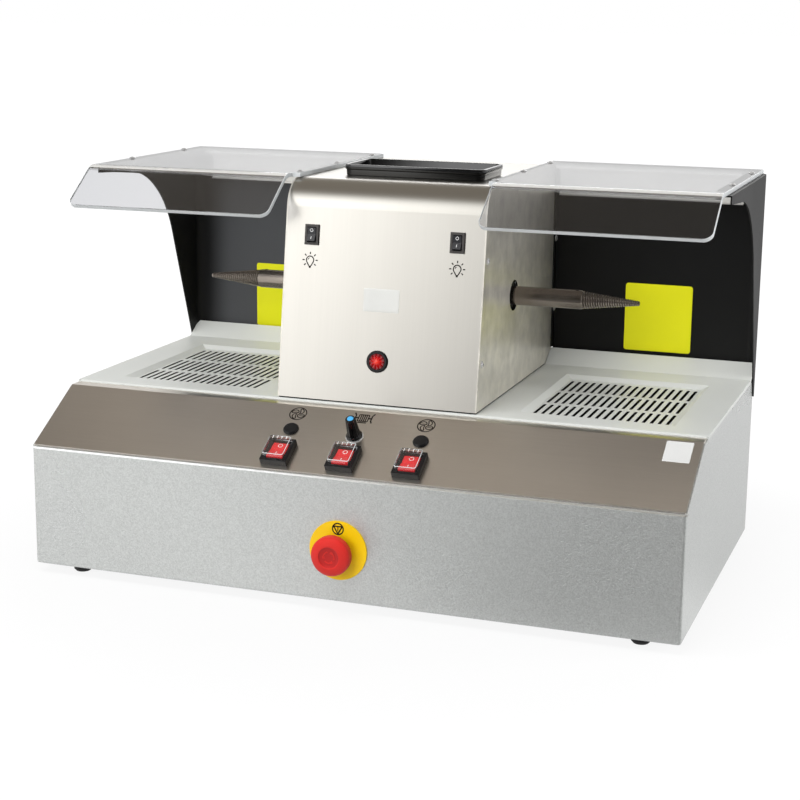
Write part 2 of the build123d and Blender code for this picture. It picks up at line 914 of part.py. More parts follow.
def make_filter_frames():
    """Two trays under the deck openings that hold the filter pads."""
    width, length = filter_size()
    under = deck_top - cabinet_sheet
    low = under - filter_depth
    frame = centred(width, length, low, under)
    inner = 2 * filter_wall
    frame = frame - centred(width - inner, length - inner, low + filter_wall, under + 1)
    ledge = 2 * filter_ledge
    frame = frame - centred(width - ledge, length - ledge, low - 1, low + 2 * filter_wall)
    return [Pos(side * recess_x, recess_y, 0) * frame for side in (-1, 1)]


def make_filter_pads():
    """Two fibre pads lying on the ledges of their frames."""
    width, length = filter_size()
    inner = 2 * (filter_wall + pad_gap)
    low = deck_top - cabinet_sheet - filter_depth + filter_wall
    pad = centred(width - inner, length - inner, low, low + pad_depth)
    return [Pos(side * recess_x, recess_y, 0) * pad for side in (-1, 1)]


def make_fan_frame(side):
    """Square fan frame with a round duct and a motor boss on four arms."""
    frame = centred(fan_size, fan_size, 0, fan_depth) - disc(duct_radius, -1, fan_depth + 1)
    span = 2 * duct_radius + fan_wall
    arms = centred(span, fan_arm, 0, fan_arm_depth) + centred(fan_arm, span, 0, fan_arm_depth)
    frame = frame + arms + disc(fan_boss_radius, 0, fan_boss_depth)
    frame = frame - disc(fan_shaft_radius + running_gap, fan_wall, fan_boss_depth + 1)
    return fan_place(side) * frame


def make_fan_impeller(side):
    """Hub, shaft and pitched blades that flatten towards their tips."""
    low = fan_boss_depth + hub_gap
    middle = low + hub_depth / 2
    wheel = disc(hub_radius, low, low + hub_depth) + disc(fan_shaft_radius, fan_wall + hub_gap, low + 1)
    root_plane = Plane(origin=(hub_radius - 2, 0, middle), x_dir=(0, 1, 0), z_dir=(1, 0, 0))
    tip_plane = Plane(origin=(duct_radius - blade_gap, 0, middle), x_dir=(0, 1, 0), z_dir=(1, 0, 0))
    root = root_plane * Rectangle(0.9 * hub_depth, blade_sheet, rotation=50)
    tip = tip_plane * Rectangle(1.9 * hub_depth, blade_sheet, rotation=25)
    blade = loft([root, tip])
    for i in range(blade_count):
        wheel = wheel + Rot(0, 0, 360 * i / blade_count) * blade
    return fan_place(side) * wheel


def rocker_shape(width, reach, crown, pin, reach_out):
    """Rocker about its pin along X: round ends, two faces that meet in a shallow valley."""
    upper = math.radians(25)
    lower = math.radians(30)
    high = (reach * math.cos(upper), reach * math.sin(upper))
    low = (reach * math.cos(lower), -reach * math.sin(lower))
    lines = [
        Line((-low[0], low[1]), low),
        ThreePointArc(low, (reach, 0), high),
        Line(high, (0, crown)),
        Line((0, crown), (-high[0], high[1])),
        ThreePointArc((-high[0], high[1]), (-reach, 0), (-low[0], low[1])),
    ]
    rocker = along_x(make_face(lines), -width / 2, width / 2)
    axle = Rot(0, 90, 0) * Cylinder(pin, width + 2 * reach_out)
    return rocker + axle


def rocker_pocket(width, reach, pin, reach_out, pivot, top):
    """Room for a rocker and its pins in a switch body."""
    depth = reach * math.sin(math.radians(45)) + 1
    pocket = centred(width + 2 * rocker_gap, 2 * (reach + rocker_gap), pivot - depth, top + 1)
    axle = Rot(0, 90, 0) * Cylinder(pin + running_gap, width + 2 * reach_out + rocker_gap)
    return pocket + Pos(0, 0, pivot) * axle


def make_switch_body(index):
    """Body of a large rocker switch: collar on the panel, block below it."""
    body = centred(collar_width, collar_length, 0, collar_height)
    body = body + centred(switch_body_width, switch_body_length, -switch_body_depth, 0)
    pocket = rocker_pocket(
        rocker_width, rocker_reach, pin_radius, pin_reach, rocker_pivot, collar_height
    )
    body = body - pocket
    return on_panel(switch_group_x + index * switch_pitch, switch_u) * body


def make_rocker(index):
    """Red rocker of a large switch, resting in its off position."""
    rocker = rocker_shape(rocker_width, rocker_reach, rocker_crown, pin_radius, pin_reach)
    place = on_panel(switch_group_x + index * switch_pitch, switch_u)
    return place * Pos(0, 0, rocker_pivot) * Rot(-rocker_tilt, 0, 0) * rocker


def make_switch_covers():
    """Three clear caps over the rockers, standing on the collars."""
    width = collar_width - 2 * cover_margin
    length = collar_length - 2 * cover_margin
    top = collar_height + cover_height
    cap = upright(RectangleRounded(width, length, 2), collar_height, top)
    cap = cap - centred(width - 2 * cover_wall, length - 2 * cover_wall, collar_height - 1, top - cover_wall)
    return [on_panel(switch_group_x + i * switch_pitch, switch_u) * cap for i in (-1, 0, 1)]


def make_light_switch_bodies():
    """Bodies of the two small rocker switches: bezel on the housing front, block behind it."""
    body = centred(bezel_width, bezel_length, 0, bezel_height)
    body = body + centred(small_body_width, small_body_length, -small_body_depth, 0)
    body = body - rocker_pocket(
        small_rocker_width,
        small_rocker_reach,
        small_pin_radius,
        small_pin_reach,
        small_rocker_pivot,
        bezel_height,
    )
    return [on_front(side * light_switch_x, light_switch_v) * body for side in (-1, 1)]


def make_light_rocker(side):
    """Small black rocker, resting in its off position."""
    rocker = rocker_shape(
        small_rocker_width,
        small_rocker_reach,
        small_rocker_crown,
        small_pin_radius,
        small_pin_reach,
    )
    place = on_front(side * light_switch_x, light_switch_v)
    return place * Pos(0, 0, small_rocker_pivot) * Rot(-small_rocker_tilt, 0, 0) * rocker


def make_speed_pot():
    """Potentiometer under the panel, its bush, and the bright washer and nut on top."""
    under = -cabinet_sheet
    pot = disc(pot_radius, under - pot_depth, under) + disc(bush_radius, under - 1, bush_height)
    pot = pot + disc(washer_radius, 0, washer_sheet)
    pot = pot + hexagon(nut_flats, washer_sheet, washer_sheet + nut_height)
    pot = pot - disc(pot_shaft + running_gap, under - pot_depth + cabinet_sheet, bush_height + 1)
    return on_panel(switch_group_x, knob_u) * pot


def make_pot_shaft():
    """Shaft of the potentiometer, turned by the knob."""
    top = knob_height - knob_cap_depth - knob_roof
    return on_panel(switch_group_x, knob_u) * disc(pot_shaft, fit_gap - pot_depth, top - fit_gap)


def make_speed_knob():
    """Knob with a skirt, a waist and a seat for its cap."""
    bore = pot_shaft + running_gap / 2
    cap_seat = knob_cap_radius + running_gap
    cavity = nut_flats / math.sqrt(3) + nut_gap
    points = [
        (cavity, knob_lift),
        (knob_skirt, knob_lift),
        (knob_skirt, knob_lift + knob_skirt_height),
        (knob_waist, knob_waist_height),
        (knob_top, knob_height),
        (cap_seat, knob_height),
        (cap_seat, knob_height - knob_cap_depth),
        (0, knob_height - knob_cap_depth),
        (0, knob_height - knob_cap_depth - knob_roof),
        (bore, knob_height - knob_cap_depth - knob_roof),
        (bore, bush_height + nut_gap),
        (bush_radius + nut_gap, bush_height + nut_gap),
        (bush_radius + nut_gap, washer_sheet + nut_height + nut_gap),
        (cavity, washer_sheet + nut_height + nut_gap),
    ]
    return on_panel(switch_group_x, knob_u) * turned(points)


def make_knob_cap():
    """Coloured cap let into the top of the knob."""
    points = [
        (0, knob_height - knob_cap_depth),
        (knob_cap_radius, knob_height - knob_cap_depth),
        (knob_cap_radius, knob_height + 0.3 * knob_cap_dome),
        (0.8 * knob_cap_radius, knob_height + 0.9 * knob_cap_dome),
        (0, knob_height + knob_cap_dome),
    ]
    return on_panel(switch_group_x, knob_u) * turned(points)


def make_hole_plugs():
    """Two round blanking plugs beside the knob."""
    points = [
        (0, -plug_depth),
        (plug_neck, -plug_depth),
        (plug_neck, 0),
        (plug_radius, 0),
        (plug_radius, plug_edge),
        (plug_radius - plug_edge, plug_height - 0.3 * plug_edge),
        (0, plug_height),
    ]
    plug = turned(points)
    return [on_panel(switch_group_x + i * switch_pitch, plug_u) * plug for i in (-1, 1)]


def make_lamp_bezel():
    """Black bezel of the signal lamp with its barrel through the sheet."""
    seat = lens_radius + fit_gap
    points = [
        (0, -lamp_depth),
        (lamp_barrel, -lamp_depth),
        (lamp_barrel, 0),
        (lamp_radius, 0),
        (lamp_radius, 0.6 * lamp_height),
        (0.9 * lamp_radius, lamp_height),
        (seat, lamp_height),
        (seat, lamp_seat),
        (0, lamp_seat),
    ]
    return on_front(0, lamp_v) * turned(points)


def make_lamp_lens():
    """Red lens in the bezel."""
    points = [
        (0, lamp_seat),
        (lens_radius, lamp_seat),
        (lens_radius, lamp_seat + 0.55 * lens_height),
        (0.8 * lens_radius, lamp_seat + 0.9 * lens_height),
        (0, lamp_seat + lens_height),
    ]
    return on_front(0, lamp_v) * turned(points)


def make_stop_plate():
    """Yellow legend disc behind the emergency stop."""
    plate = disc(stop_plate_radius, 0, stop_plate_sheet)
    return stop_plane.location * (plate - disc(stop_barrel + fit_gap, -1, stop_plate_sheet + 1))


def make_stop_body():
    """Collar, barrel, locking ring and contact block of the emergency stop."""
    bore = stop_stem_radius + running_gap
    inside = -cabinet_sheet
    points = [
        (0, -stop_barrel_depth),
        (stop_barrel, -stop_barrel_depth),
        (stop_barrel, inside - stop_ring_depth),
        (stop_barrel + stop_ring_edge, inside - stop_ring_depth),
        (stop_barrel + stop_ring_edge, inside),
        (stop_barrel, inside),
        (stop_barrel, stop_plate_sheet),
        (stop_barrel + stop_collar_edge, stop_plate_sheet),
        (stop_barrel + stop_collar_edge, stop_collar_height),
        (bore, stop_collar_height),
        (bore, -stop_bore_depth),
        (0, -stop_bore_depth),
    ]
    low = -stop_barrel_depth - stop_block_depth
    contacts = centred(stop_block_width, stop_block_length, low, -stop_barrel_depth)
    return stop_plane.location * (turned(points) + contacts)


def make_stop_stem():
    """Push rod of the emergency stop."""
    return stop_plane.location * disc(stop_stem_radius, -stop_stem_depth, stop_head_seat)


def make_stop_head():
    """Mushroom head with a bevel and a dished middle."""
    bore = stop_stem_radius + running_gap
    points = [
        (bore, stop_head_low),
        (stop_head_radius - stop_head_edge, stop_head_low),
        (stop_head_radius, stop_head_low + stop_head_edge),
        (stop_head_radius, stop_head_seat),
        (0.84 * stop_head_radius, stop_reach - stop_dish),
        (0.46 * stop_head_radius, stop_reach),
        (0.4 * stop_head_radius, stop_reach - 0.7 * stop_dish),
        (0, stop_reach - stop_dish),
        (0, stop_head_seat + fit_gap),
        (bore, stop_head_seat + fit_gap),
    ]
    return stop_plane.location * turned(points)


def make_cable_gland():
    """Cable gland at the back, closed with a blanking insert."""
    inside = -cabinet_sheet
    gland = hexagon(gland_flats, 0, gland_nut) + disc(gland_barrel, -gland_depth, 1)
    gland = gland + hexagon(gland_flats, inside - 0.7 * gland_nut, inside)
    shoulder = gland_nut + 0.6 * (gland_reach - gland_nut)
    dome = [
        (0, gland_nut),
        (gland_dome, gland_nut),
        (gland_dome, shoulder),
        (0.65 * gland_dome, gland_reach),
        (0, gland_reach),
    ]
    gland = gland + turned(dome)
    return gland_plane.location * gland


def make_tool_tray():
    """Loose tray for tools on top of the housing."""
    outer = upright(RectangleRounded(tool_width, tool_length, tool_round), 0, tool_height)
    inner = RectangleRounded(tool_width - 2 * tool_wall, tool_length - 2 * tool_wall, tool_round - tool_wall)
    tray = outer - upright(inner, tool_wall, tool_height + 1)
    return Pos(tool_x, tool_y, housing_top) * tray


def screw_at(point, outward):
    """Head of a screw seated on a face, its axis pointing outward."""
    place = Plane(origin=point, z_dir=outward).location
    return place * hexagon(2 * screw_head, 0, screw_height)


def make_housing_screws():
    """Screws near the front edge of both housing side plates."""
    screws = []
    for side in (-1, 1):
        for part in housing_screw_parts:
            rise = part * housing_height
            y = housing_front + rise * math.tan(lean) + housing_screw_inset
            screws.append(screw_at((side * housing_half, y, housing_bottom + rise), (side, 0, 0)))
    return screws


def make_shield_screws():
    """Screws that hold the clear shields to the housing and the hood flanges."""
    screws = []
    for side in (-1, 1):
        for part in (0.1, 0.49, 0.9):
            y = shield_fold + part * (cabinet_depth - shield_fold)
            x = side * (shield_inner + shield_screw_inset)
            screws.append(screw_at((x, y, shield_top), (0, 0, 1)))
        for part in (0.32, 0.8):
            y = shield_fold + part * (cabinet_depth - shield_fold)
            x = side * (half_width - shield_screw_outer)
            screws.append(screw_at((x, y, shield_top), (0, 0, 1)))
    return screws


def make_hood_screws():
    """Screws of the hoods into the cabinet's back and the housing sides."""
    screws = []
    back = cabinet_depth + hood_sheet
    for side in (-1, 1):
        for part in (0.0, 0.5, 1.0):
            x = housing_half + screw_inset + part * (half_width - housing_half - 2 * screw_inset)
            screws.append(screw_at((side * x, back, (hood_bottom + deck_top) / 2), (0, 1, 0)))
        for part in (0.27, 0.63):
            y = cabinet_depth - hood_inner_flange / 2
            point = (side * (housing_half + hood_sheet), y, housing_bottom + part * housing_height)
            screws.append(screw_at(point, (side, 0, 0)))
    return screws


def make_cabinet_screws():
    """Screws of the bottom cover, the fans and the housing's rear cover."""
    screws = []
    for side in (-1, 1):
        for part in (0.15, 0.5, 0.85):
            point = (side * (half_width - screw_inset), part * cabinet_depth, foot_height)
            screws.append(screw_at(point, (0, 0, -1)))
        for dx in (-fan_bolt, fan_bolt):
            for dz in (-fan_bolt, fan_bolt):
                point = (side * fan_x + dx, cabinet_depth, fan_z + dz)
                screws.append(screw_at(point, (0, 1, 0)))
        for part in (0.18, 0.86):
            x = side * (housing_half - housing_flange)
            point = (x, cabinet_depth, housing_bottom + part * housing_height)
            screws.append(screw_at(point, (0, 1, 0)))
    return screws


def write(name, piece):
    """Write one node, one solid or a group of separate solids, moved to the middle of the depth."""
    pieces = piece if isinstance(piece, list) else [piece]
    moved = [Pos(0, -centre_y, 0) * solid for item in pieces for solid in item.solids()]
    result = moved[0] if len(moved) == 1 else Compound(children=moved)
    result.label = name
    export_step(result, os.path.join("parts", name + ".step"))


def show(name, point):
    """Print a joint's place in the frame of the written part, in metres."""
    x, y, z = point
    print(name, [round(x / 1000, 6), round((y - centre_y) / 1000, 6), round(z / 1000, 6)])


os.makedirs("parts", exist_ok=True)
write("base_shell", make_base_shell())
write("base_plate", make_base_plate())
write("rubber_feet", make_rubber_feet())
write("control_panel", make_control_panel())
write("deck_tray", make_deck_tray())
write("housing_wrap", make_housing_wrap())
side_right = make_housing_side_right()
write("housing_side_right", side_right)
write("housing_side_left", both_sides(side_right))
write("housing_rear_cover", make_housing_rear_cover())
write("housing_seal", make_housing_seal())
hood_right = make_hood_right()
write("hood_right", hood_right)
write("hood_left", both_sides(hood_right))
shield_right = make_shield_right()
write("shield_right", shield_right)
write("shield_left", both_sides(shield_right))
channel_right = make_light_channel_right()
write("light_channel_right", channel_right)
write("light_channel_left", both_sides(channel_right))
diffuser_right = make_light_diffuser_right()
write("light_diffuser_right", diffuser_right)
write("light_diffuser_left", both_sides(diffuser_right))
write("motor_casing", make_motor_casing())
write("motor_stator", make_motor_stator())
write("motor_end_bells", make_motor_end_bells())
write("motor_bearings", make_motor_bearings())
write("motor_stand", make_motor_stand())
write("motor_rotor", make_motor_rotor())
spindle_right = make_spindle_right()
write("spindle_right", spindle_right)
write("spindle_left", both_sides(spindle_right))
write("speed_controller", make_speed_controller())
write("filter_frames", make_filter_frames())
write("filter_pads", make_filter_pads())
for word, side in (("left", -1), ("right", 1)):
    write("fan_frame_" + word, make_fan_frame(side))
    write("fan_impeller_" + word, make_fan_impeller(side))
    write("light_rocker_" + word, make_light_rocker(side))
for word, index in (("left_fan", -1), ("motor", 0), ("right_fan", 1)):
    write(word + "_switch_body", make_switch_body(index))
    write(word + "_rocker", make_rocker(index))
write("switch_covers", make_switch_covers())
write("light_switch_bodies", make_light_switch_bodies())
write("speed_pot", make_speed_pot())
write("pot_shaft", make_pot_shaft())
write("speed_knob", make_speed_knob())
write("knob_cap", make_knob_cap())
write("hole_plugs", make_hole_plugs())
write("lamp_bezel", make_lamp_bezel())
write("lamp_lens", make_lamp_lens())
write("stop_plate", make_stop_plate())
write("stop_body", make_stop_body())
write("stop_stem", make_stop_stem())
write("stop_head", make_stop_head())
write("cable_gland", make_cable_gland())
write("tool_tray", make_tool_tray())
write("housing_screws", make_housing_screws())
write("shield_screws", make_shield_screws())
write("hood_screws", make_hood_screws())
write("cabinet_screws", make_cabinet_screws())

show("spindle", (0, spindle_y, spindle_z))
show("fan_right", (fan_x, cabinet_depth - cabinet_sheet - fan_depth / 2, fan_z))
for index in (-1, 0, 1):
    place = on_panel(switch_group_x + index * switch_pitch, switch_u) * Pos(0, 0, rocker_pivot)
    show("rocker", tuple(place.position))
place = on_front(light_switch_x, light_switch_v) * Pos(0, 0, small_rocker_pivot)
show("light_rocker_right", tuple(place.position))
show("knob", tuple(on_panel(switch_group_x, knob_u).position))
print("panel outward", [round(v, 6) for v in tuple(panel_plane.z_dir)])
show("stop", (0, 0, stop_z))
print("centre_y", centre_y)
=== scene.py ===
"""Looks of a bench polishing machine with two spindles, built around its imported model.

Shapes are written in millimetres and put into the meshes in metres, +Z up, front at -Y.
"""

import math

import bmesh
import bpy
import numpy as np
from mathutils import Matrix, Vector


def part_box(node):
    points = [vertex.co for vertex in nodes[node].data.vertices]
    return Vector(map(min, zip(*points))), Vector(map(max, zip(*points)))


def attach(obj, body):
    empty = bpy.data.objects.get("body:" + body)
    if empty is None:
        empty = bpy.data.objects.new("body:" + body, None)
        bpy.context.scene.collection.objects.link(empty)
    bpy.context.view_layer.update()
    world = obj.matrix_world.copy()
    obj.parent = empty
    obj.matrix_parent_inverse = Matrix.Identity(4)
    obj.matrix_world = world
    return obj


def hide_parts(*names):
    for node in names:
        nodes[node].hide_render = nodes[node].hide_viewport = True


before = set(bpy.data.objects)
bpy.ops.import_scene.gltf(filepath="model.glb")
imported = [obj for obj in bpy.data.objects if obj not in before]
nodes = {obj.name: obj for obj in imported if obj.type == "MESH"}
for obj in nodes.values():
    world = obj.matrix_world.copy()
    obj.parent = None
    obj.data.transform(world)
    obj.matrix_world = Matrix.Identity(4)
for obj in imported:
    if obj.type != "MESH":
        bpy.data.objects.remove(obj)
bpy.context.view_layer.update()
scene = bpy.context.scene

# Sizes that the pieces share, in millimetres and radians; MM is a millimetre in metres
MM = 0.001
slope = math.atan2(47.8, 82.7)
lean = math.radians(7.8)
front_y = -194.0
panel_sheet = 1.5
panel_foot_z = 135.7
housing_foot = (0.0, -93.3, 188.5)
stop_z = 63.3
hood_back_y = 206.0
spindle_y = 36.0
spindle_z = 288.0
housing_top = 410.5
half_width = 340.0
switch_x = {"left_fan": -71.5, "motor": -2.5, "right_fan": 66.5}
switch_u = 24.0
cover_top = 13.0
knob_place = (-2.5, 58.0)
lamp_up = 43.5
print_height = 0.06
sides = {"left": -1, "right": 1}


# Places

def face(origin, out, across=(1.0, 0.0, 0.0)):
    """A flat face: its origin, and the rows across it, up it and out of it."""
    across = np.array(across, float)
    out = np.array(out, float)
    return np.array(origin, float), np.stack([across, np.cross(out, across), out])


def put(points, place, x=0.0, u=0.0, height=0.0):
    """Local points (across, up, out) moved by (x, u, height) and carried to a face."""
    origin, axes = place
    return origin + (points + np.array([x, u, height])) @ axes


panel_face = face(
    (0, front_y - panel_sheet * math.sin(slope), panel_foot_z + panel_sheet * math.cos(slope)),
    (0, -math.sin(slope), math.cos(slope)),
)
front_face = face(housing_foot, (0, -math.cos(lean), math.sin(lean)))
stop_face = face((0, front_y, stop_z), (0, -1, 0))
back_face = face((0, hood_back_y, 0), (0, -1, 0))


# Surfaces: every shape is a grid of points, rows by columns

def grid(points, wrap_rows=False, wrap_columns=False):
    """Points and quads of a grid; a wrapped direction joins its last line to its first."""
    rows, columns = points.shape[:2]
    index = np.arange(rows * columns).reshape(rows, columns)
    if wrap_rows:
        index = np.vstack([index, index[:1]])
    if wrap_columns:
        index = np.hstack([index, index[:, :1]])
    corners = [index[:-1, :-1], index[:-1, 1:], index[1:, 1:], index[1:, :-1]]
    return points.reshape(-1, 3), np.stack(corners, -1).reshape(-1, 4)


def capped(rings):
    """Close a tube: the middle of the first and of the last ring becomes one more row."""
    columns = rings.shape[1]
    first = np.repeat(rings[:1].mean(1, keepdims=True), columns, 1)
    last = np.repeat(rings[-1:].mean(1, keepdims=True), columns, 1)
    return np.concatenate([first, rings, last])


def unit(vector):
    """Vector of length one."""
    return vector / np.linalg.norm(vector, axis=-1, keepdims=True)


def around(count):
    """Even turn angles of one full turn."""
    return np.arange(count) * (2 * math.pi / count)


def rounded(points, radii, closed=False, steps=6):
    """Line with arcs for corners. An arc leaves each side r / tan(half angle) from the corner
    and turns evenly about a centre r / sin(half angle) away."""
    points = np.asarray(points, float)
    count = len(points)
    part = np.linspace(0, 1, steps + 1)[:, None]
    line = []
    for i, here in enumerate(points):
        end = not closed and i in (0, count - 1)
        if end or radii[i] == 0:
            line.append(here[None])
            continue
        back = unit(points[i - 1] - here)
        ahead = unit(points[(i + 1) % count] - here)
        half = 0.5 * math.acos(np.clip(back @ ahead, -1, 1))
        reach = radii[i] / math.tan(half)
        centre = here + unit(back + ahead) * radii[i] / math.sin(half)
        start = here + back * reach - centre
        stop = here + ahead * reach - centre
        turn = math.pi - 2 * half
        swing = start * np.sin((1 - part) * turn) + stop * np.sin(part * turn)
        line.append(centre + swing / math.sin(turn))
    return np.vstack(line)


def box_loop(width, length, radius, steps=6):
    """Rectangle with round corners about the origin, as a closed line."""
    x = width / 2
    y = length / 2
    return rounded([(x, -y), (x, y), (-x, y), (-x, -y)], [radius] * 4, True, steps)


def boxed(width, length, radius, profile):
    """Profile of (inset, height) carried round a rectangle with round corners, closed at
    the middle of its first and last loop."""
    loops = []
    for inset, height in profile:
        loop = box_loop(width - 2 * inset, length - 2 * inset, max(radius - inset, 0.3))
        loops.append(np.column_stack([loop, np.full(len(loop), height)]))
    return capped(np.stack(loops))


def turned(profile, count=64):
    """Profile of (radius, height) turned about the third axis."""
    radius, height = np.asarray(profile, float).T
    angle = around(count)
    x = radius[:, None] * np.cos(angle)
    y = radius[:, None] * np.sin(angle)
    return np.stack([x, y, np.broadcast_to(height[:, None], x.shape)], -1)


def band(path, width, height=print_height, closed=False):
    """Flat strip: a rectangle carried along a flat path, half its width to each side."""
    path = np.asarray(path, float)
    if closed:
        ahead = np.roll(path, -1, 0) - np.roll(path, 1, 0)
    else:
        ahead = np.gradient(path, axis=0)
    side = unit(ahead)[:, ::-1] * np.array([-1, 1]) * width / 2
    low = np.zeros((len(path), 1))
    left = path + side
    right = path - side
    rings = np.stack(
        [
            np.hstack([left, low]),
            np.hstack([left, low + height]),
            np.hstack([right, low + height]),
            np.hstack([right, low]),
        ],
        1,
    )
    if closed:
        return grid(rings, True, True)
    return grid(capped(rings), False, True)


def arc(radius, start, stop, centre=(0.0, 0.0), count=24):
    """Part of a circle from one angle to another, in degrees."""
    angle = np.radians(np.linspace(start, stop, count))
    return np.column_stack([np.cos(angle), np.sin(angle)]) * radius + np.array(centre)


def circle(radius, centre=(0.0, 0.0), count=40):
    """Closed circle."""
    return arc(radius, 0, 360 * (count - 1) / count, centre, count)


def tube(rings, place, x=0.0, u=0.0, height=0.0, number=0):
    """Part of a piece: rings joined to a tube and laid on a face, and its material number."""
    return (*grid(put(rings, place, x, u, height), False, True), number)


def piece(name, parts, materials, body, replaces=(), angle=35):
    """One object from grids: each part is (points, quads, material number). Doubles are
    merged, so seams and poles close, and faces are turned outwards."""
    points = []
    quads = []
    numbers = []
    start = 0
    for part_points, part_quads, number in parts:
        points.append(part_points)
        quads.append(part_quads + start)
        numbers.append(np.broadcast_to(number, len(part_quads)))
        start += len(part_points)
    mesh = bpy.data.meshes.new(name)
    mesh.from_pydata((np.vstack(points) * MM).tolist(), [], np.vstack(quads).tolist())
    mesh.polygons.foreach_set("material_index", np.concatenate(numbers).astype(np.int32))
    shape = bmesh.new()
    shape.from_mesh(mesh)
    bmesh.ops.remove_doubles(shape, verts=shape.verts, dist=1e-6)
    bmesh.ops.recalc_face_normals(shape, faces=shape.faces)
    shape.to_mesh(mesh)
    shape.free()
    mesh.shade_smooth()
    mesh.set_sharp_from_angle(angle=math.radians(angle))
    for material in materials:
        mesh.materials.append(material)
    made = bpy.data.objects.new(name, mesh)
    scene.collection.objects.link(made)
    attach(made, body)
    if replaces:
        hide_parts(*replaces)


# Node helpers

def add(tree, kind, values=(), **settings):
    """New shader node; values are constants or sockets to link, by input name or number."""
    made = tree.nodes.new("ShaderNode" + kind)
    for key, value in settings.items():
        setattr(made, key, value)
    for key, value in dict(values).items():
        if isinstance(value, bpy.types.NodeSocket):
            tree.links.new(value, made.inputs[key])
        else:
            made.inputs[key].default_value = value
    return made


def sums(tree, operation, first, second):
    """Result of one arithmetic step."""
    return add(tree, "Math", {0: first, 1: second}, operation=operation).outputs[0]


def times(tree, value, *others):
    """Product of two or more values."""
    for other in others:
        value = sums(tree, "MULTIPLY", value, other)
    return value


def span(tree, value, low, high):
    """A value from 0 to 1 stretched to run from low to high."""
    return add(tree, "MapRange", {"Value": value, "To Min": low, "To Max": high}).outputs[0]


def mixed(tree, factor, first, second):
    """Colour between two colours. The node's colour sockets are inputs 6 and 7, output 2."""
    return add(tree, "Mix", {0: factor, 6: first, 7: second}, data_type="RGBA").outputs[2]


def colour(red, green, blue):
    """Linear colour from 0 to 255 display values."""
    shown = np.array([red, green, blue]) / 255
    linear = np.where(shown <= 0.04045, shown / 12.92, ((shown + 0.055) / 1.055) ** 2.4)
    return (*linear.tolist(), 1.0)


def group(name, inputs, outputs):
    """Empty node group with named sockets: (tree, its inputs, its output node)."""
    tree = bpy.data.node_groups.new(name, "ShaderNodeTree")
    for label, kind in inputs:
        tree.interface.new_socket(name=label, in_out="INPUT", socket_type="NodeSocket" + kind)
    for label in outputs:
        tree.interface.new_socket(name=label, in_out="OUTPUT", socket_type="NodeSocketFloat")
    return tree, tree.nodes.new("NodeGroupInput").outputs, tree.nodes.new("NodeGroupOutput")


def pebble_group():
    """Pebbled coat: soft lumps of noise, with a finer ripple over them."""
    tree, given, result = group(
        "pebble coat", [("Place", "Vector"), ("Size", "Float")], ["Height", "Fleck"]
    )
    sway = add(tree, "TexNoise", {"Vector": given["Place"], "Scale": given["Size"], "Detail": 2.0})
    finer = times(tree, given["Size"], 2.3)
    ripple = add(tree, "TexNoise", {"Vector": given["Place"], "Scale": finer, "Detail": 1.0})
    height = sums(tree, "ADD", sway.outputs[0], times(tree, ripple.outputs[0], 0.45))
    tree.links.new(height, result.inputs["Height"])
    tree.links.new(span(tree, sway.outputs[0], -0.6, 1.6), result.inputs["Fleck"])
    return tree


def grain_group():
    """Brushed grain: noise drawn out along one direction, fine scratches over broad streaks."""
    tree, given, result = group(
        "brushed grain", [("Place", "Vector"), ("Stretch", "Vector")], ["Height", "Streak"]
    )
    drawn = add(tree, "VectorMath", {0: given["Place"], 1: given["Stretch"]}, operation="MULTIPLY")
    fine = add(tree, "TexNoise", {"Vector": drawn.outputs[0], "Scale": 1.0, "Detail": 3.0})
    broad = add(tree, "TexNoise", {"Vector": drawn.outputs[0], "Scale": 0.16, "Detail": 2.0})
    tree.links.new(fine.outputs[0], result.inputs["Height"])
    tree.links.new(broad.outputs[0], result.inputs["Streak"])
    return tree


def film_group():
    """Uneven film: soft clouds, as handling marks and coating thickness leave them."""
    tree, given, result = group("uneven film", [("Place", "Vector"), ("Size", "Float")], ["Cloud"])
    noise = add(tree, "TexNoise", {"Vector": given["Place"], "Scale": given["Size"], "Detail": 4.0})
    tree.links.new(span(tree, noise.outputs[0], -0.7, 1.7), result.inputs["Cloud"])
    return tree


pebble_coat = pebble_group()
brushed_grain = grain_group()
uneven_film = film_group()


def placed(tree, shared, values):
    """Outputs of a shared group in a material, with its own values."""
    return add(tree, "Group", values, node_tree=shared).outputs


def scaled(tree, shade, factor):
    """Colour made lighter or darker by a factor."""
    return add(tree, "VectorMath", {0: shade, "Scale": factor}, operation="SCALE").outputs[0]


def faded(tree, value, low, high):
    """0 below low, 1 above high, and a soft step between."""
    values = {"Value": value, "From Min": low, "From Max": high}
    return add(tree, "MapRange", values, interpolation_type="SMOOTHSTEP").outputs[0]


